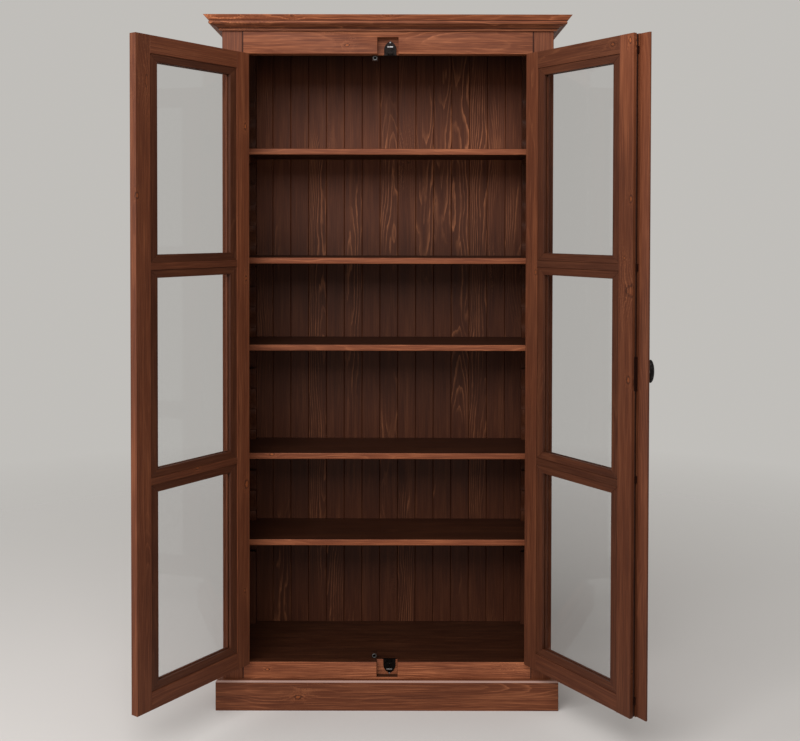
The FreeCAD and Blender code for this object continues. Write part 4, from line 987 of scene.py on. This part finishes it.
class CABINET_OT_fittings(bpy.types.Operator):
    """Hinges, lock, rods, keepers and door stops"""

    bl_idname = "cabinet.fittings"
    bl_label = "Metal Fittings"

    def execute(self, context):
        for node in (
            "hinge_leaves_posts", "left_hinge_leaves", "right_hinge_leaves",
            "lock_case", "rod_guides", "upper_rod", "lower_rod", "keeper_top", "keeper_bottom",
        ):
            make_metal(context, node)
        self.make_stops(context)
        self.add_lips(context)
        self.add_hinge_screws(context)
        return {"FINISHED"}

    def make_stops(self, context):
        """Blocks of wood painted dark as shade, with a bright round buffer."""
        finish, sizes = context.scene.cabinet_finish, context.scene.cabinet_sizes
        mesh = merged_copy("door_stops")
        boxes = part_boxes(mesh)
        step = min(low.y for low, high in boxes) + sizes.buffer
        far = [face for face in mesh.faces if face.calc_center_median().y < step - TOUCH]
        fronts = [face.calc_center_bounds() for face in far if face.normal.y < -FACES_FRONT]
        middles = [
            next(Vector(place) for place in fronts if low.z <= place.z <= high.z)
            for low, high in boxes
        ]
        bmesh.ops.delete(mesh, geom=far, context="FACES")
        # painted shade on the blocks
        make_board(context, "door_stops", UPRIGHT, mesh, inside=((0, 0.15),))
        rings = bmesh.new()
        radius, rise = sizes.buffer_radius, sizes.buffer
        profile = ((radius * 0.56, 0), (radius * 0.62, rise * 0.9), (radius * 0.70, rise),
                   (radius * 0.90, rise), (radius, rise * 0.8), (radius, 0))
        forwards = Matrix.Rotation(math.pi / 2, 4, "X")
        for middle in middles:
            place = Matrix.Translation((middle.x, step, middle.z)) @ forwards
            turn_profile(rings, profile, place)
        material = shared(grey_steel, "buffer", finish.buffer)
        place_piece(rings, "door_stop_buffers", material, "door_stops", slot="grey_steel")

    def add_lips(self, context):
        """Bright lip over the opening of each keeper, and its screw."""
        finish, sizes = context.scene.cabinet_finish, context.scene.cabinet_sizes
        mesh = bmesh.new()
        for node, way in (("keeper_top", 1), ("keeper_bottom", -1)):
            low, high = node_boxes(node)[0]
            middle, foot = (low.x + high.x) / 2, low.z if way > 0 else high.z
            made = bmesh.ops.create_cube(mesh, size=1)["verts"]
            place = (middle, low.y - LIP_OUT, foot + way * LIP_LEVEL)
            bmesh.ops.scale(mesh, verts=made, vec=LIP_SIZE)
            bmesh.ops.translate(mesh, verts=made, vec=place)
            place = (middle, low.y, foot + way * LIP_SCREW_LEVEL)
            add_screw(mesh, place, (0, -1, 0), ACROSS, sizes.plate_screw)
        material = shared(grey_steel, "bright_steel", finish.bright_steel, 0.1)
        place_piece(mesh, "keeper_lips", material, ("keeper_top", "keeper_bottom"), LIP_EDGE)

    def add_hinge_screws(self, context):
        """Three countersunk screws in each hinge leaf."""
        sizes = context.scene.cabinet_sizes
        boxes = node_boxes("hinge_leaves_posts")
        levels = sorted({round((low.z + high.z) / 2, 3) for low, high in boxes})
        posts, doors = bmesh.new(), {side: bmesh.new() for _, side in DOOR_SIDES}
        for side, door in doors.items():
            for level in levels:
                for step in HINGE_SCREW_STEPS:
                    reach = side * (HALF_OPENING + POST_SCREW_REACH)
                    place = (reach, POST_SCREW_DEPTH, level + step)
                    add_screw(posts, place, (-side, 0, 0), DEEP, sizes.screw)
                    place = on_door(side, DOOR_SCREW_REACH, level + step, DOOR_SCREW_DEPTH)
                    add_screw(door, place, -door_direction(side), UPRIGHT, sizes.screw)
        material = shared(dark_bronze, "dark_bronze", context.scene.cabinet_finish)
        place_piece(posts, "post_hinge_screws", material, "hinge_leaves_posts")
        for name, side in DOOR_SIDES:
            place_piece(doors[side], f"{name}_hinge_screws", material, f"{name}_hinge_leaves")


class CABINET_OT_knob(bpy.types.Operator):
    """Olive-shaped knob and the plate under it"""

    bl_idname = "cabinet.knob"
    bl_label = "Knob and Plate"

    def execute(self, context):
        finish, sizes = context.scene.cabinet_finish, context.scene.cabinet_sizes
        joint = JOINTS["knob_turn"]
        out, up = -Vector(joint["axis"]), Vector(UPRIGHT)
        side = up.cross(out).normalized()
        turn = Matrix((side, up, out)).transposed().to_4x4()
        frame_of_knob = Matrix.Translation(joint["pos_m"]) @ turn
        bronze = shared(dark_bronze, "dark_bronze", finish)
        self.make_spindle(frame_of_knob, bronze, sizes)
        self.make_neck(frame_of_knob, finish, sizes)
        self.make_olive(frame_of_knob, bronze, sizes)
        make_metal(context, "knob_plate")
        plate = bmesh.new()
        for rise in (-PLATE_SCREW_STEP, PLATE_SCREW_STEP):
            place = frame_of_knob @ Vector((0, rise, sizes.plate_front))
            add_screw(plate, place, out, side, sizes.plate_screw)
        place_piece(plate, "knob_plate_screws", bronze, "knob_plate")
        return {"FINISHED"}

    def make_spindle(self, own_frame, bronze, sizes):
        """Collar, spindle and pinion keep the shape of the CAD part; the rest is made anew."""
        mesh = merged_copy("knob")
        back = own_frame.inverted()
        end = sizes.collar_end
        far = [face for face in mesh.faces if (back @ face.calc_center_median()).z > end]
        bmesh.ops.delete(mesh, geom=far, context="FACES")
        place_piece(mesh, "knob_spindle", bronze, "knob", sizes.metal_edge)

    def make_neck(self, own_frame, finish, sizes):
        """A slightly waisted neck, its bronze painted bright as a highlight over the wear."""
        start, end, wide = sizes.collar_end - 0.0035, sizes.olive_reach - 0.008, sizes.neck_radius
        profile = ((wide * 1.18, start), (wide * 1.1, start + 0.004), (wide * 0.94, start + 0.010),
                   (wide * 0.90, (start + end) / 2), (wide * 0.95, end - 0.006), (wide, end))
        mesh = bmesh.new()
        turn_profile(mesh, profile, own_frame)
        # the neck's bronze is mostly the bright colour, a painted highlight
        place_piece(mesh, "knob_neck", shared(dark_bronze, "worn_bronze", finish, 0.55), "knob")

    def make_olive(self, own_frame, bronze, sizes):
        """The olive-shaped grip."""
        mesh = bmesh.new()
        made = bmesh.ops.create_uvsphere(mesh, u_segments=48, v_segments=32, radius=1)["verts"]
        half = sizes.olive_length / 2
        tips_up = Matrix.Rotation(math.pi / 2, 3, "X")
        bmesh.ops.rotate(mesh, verts=made, cent=(0, 0, 0), matrix=tips_up)
        bmesh.ops.scale(mesh, verts=made, vec=(sizes.olive_radius, half, sizes.olive_radius))
        bmesh.ops.translate(mesh, verts=made, vec=(0, 0, sizes.olive_reach))
        bmesh.ops.transform(mesh, matrix=own_frame, verts=made)
        place_piece(mesh, "knob_olive", bronze, "knob")


def add_lamp(name, place, target, width, height, power):
    """A soft rectangular lamp that points at a place."""
    data = bpy.data.lights.new(name, "AREA")
    data.shape = "RECTANGLE"
    data.size, data.size_y = width, height
    data.energy = power
    lamp = in_scene(name, data)
    lamp.location = place
    lamp.rotation_euler = (Vector(target) - lamp.location).to_track_quat("-Z", "Y").to_euler()


class CABINET_OT_stage(bpy.types.Operator):
    """Camera, floor, background and lamps"""

    bl_idname = "cabinet.stage"
    bl_label = "Stage"

    def execute(self, context):
        settings = context.scene.cabinet_stage
        self.add_camera(context, settings)
        self.add_floor(settings)
        self.light_room(context, settings)
        middle = (0, 0.1, 0.95)
        add_lamp("main_lamp", (-0.9, -3.2, 3.1), middle, 3.2, 2.0, settings.key)
        add_lamp("side_lamp", (-3.4, -1.8, 1.7), middle, 1.6, 2.4, settings.fill)
        return {"FINISHED"}

    def add_camera(self, context, settings):
        """The view of the photograph."""
        data = bpy.data.cameras.new("camera")
        data.lens = settings.lens
        data.sensor_width = 36
        data.shift_x, data.shift_y = CAMERA_SHIFT
        camera = in_scene("camera", data)
        camera.location = settings.camera_place
        upright = Matrix.Rotation(math.pi / 2 - settings.camera_tilt, 4, "X")
        roll = Matrix.Rotation(settings.camera_roll, 4, "Z")
        camera.rotation_euler = (upright @ roll).to_euler()
        context.scene.camera = camera

    def add_floor(self, settings):
        """A round pale floor that fades into the background."""
        mesh = bmesh.new()
        bmesh.ops.create_circle(mesh, cap_ends=True, segments=96, radius=FLOOR_RADIUS)
        material, graph = new_material("floor")
        away = graph.reach(graph.own_place())
        seen = graph.ramp(away / FLOOR_RADIUS, ((0.10, 1), (0.42, 0)))
        diffuse = graph.add("ShaderNodeBsdfDiffuse", {}, {"Color": tuple(settings.floor)})
        clear = graph.add("ShaderNodeBsdfTransparent")
        graph.surface(graph.add("ShaderNodeMixShader", {}, {"Fac": seen, 1: clear, 2: diffuse}))
        floor = in_scene("floor", mesh_data(mesh, "floor", material))

    def light_room(self, context, settings):
        """Soft light from all sides, with a plain backdrop in the view."""
        world = bpy.data.worlds.new("room")
        world.use_nodes = True
        context.scene.world = world
        graph = Graph(world.node_tree)
        camera, glossy, through = (
            graph.add("ShaderNodeLightPath", {}, {}, f"Is {ray} Ray")
            for ray in ("Camera", "Glossy", "Transmission")
        )
        seen = graph.maths("MAXIMUM", graph.maths("MAXIMUM", camera, glossy), through)
        light, backdrop = (
            graph.add("ShaderNodeBackground", {}, {"Color": tint, "Strength": strength})
            for tint, strength in ((ROOM_TINT, settings.room), (tuple(settings.backdrop), 1.0))
        )
        shader = graph.add("ShaderNodeMixShader", {}, {"Fac": seen, 1: light, 2: backdrop})
        graph.add("ShaderNodeOutputWorld", {}, {"Surface": shader})
        context.scene.view_settings.view_transform = "Standard"


STEPS = (
    CABINET_OT_stage,
    CABINET_OT_carcass,
    CABINET_OT_rails,
    CABINET_OT_cornice,
    CABINET_OT_plinth,
    CABINET_OT_inside,
    CABINET_OT_shelves,
    CABINET_OT_doors,
    CABINET_OT_panes,
    CABINET_OT_fittings,
    CABINET_OT_knob,
)


class CABINET_PT_panel(bpy.types.Panel):
    """Sizes, colours and steps of the display cabinet"""

    bl_idname = "CABINET_PT_panel"
    bl_label = "Display Cabinet"
    bl_space_type = "VIEW_3D"
    bl_region_type = "UI"
    bl_category = "Cabinet"

    def draw(self, context):
        for place, group in GROUPS:
            box = self.layout.box()
            for name in group.__annotations__:
                box.prop(getattr(context.scene, place), name)
        for step in STEPS:
            self.layout.operator(step.bl_idname)


GROUPS = (
    ("cabinet_finish", CabinetFinish),
    ("cabinet_sizes", CabinetSizes),
    ("cabinet_stage", CabinetStage),
)


def register():
    """Makes the groups, the steps and the panel known to Blender."""
    for name, group in GROUPS:
        bpy.utils.register_class(group)
        setattr(bpy.types.Scene, name, PointerProperty(type=group))
    for step in (*STEPS, CABINET_PT_panel):
        bpy.utils.register_class(step)


def unregister():
    """Takes them away again."""
    for step in (CABINET_PT_panel, *reversed(STEPS)):
        bpy.utils.unregister_class(step)
    for name, group in reversed(GROUPS):
        delattr(bpy.types.Scene, name)
        bpy.utils.unregister_class(group)


def main():
    """Makes every piece."""
    register()
    for step in STEPS:
        folder, name = step.bl_idname.split(".")
        getattr(getattr(bpy.ops, folder), name)()


if __name__ == "__main__":
    main()
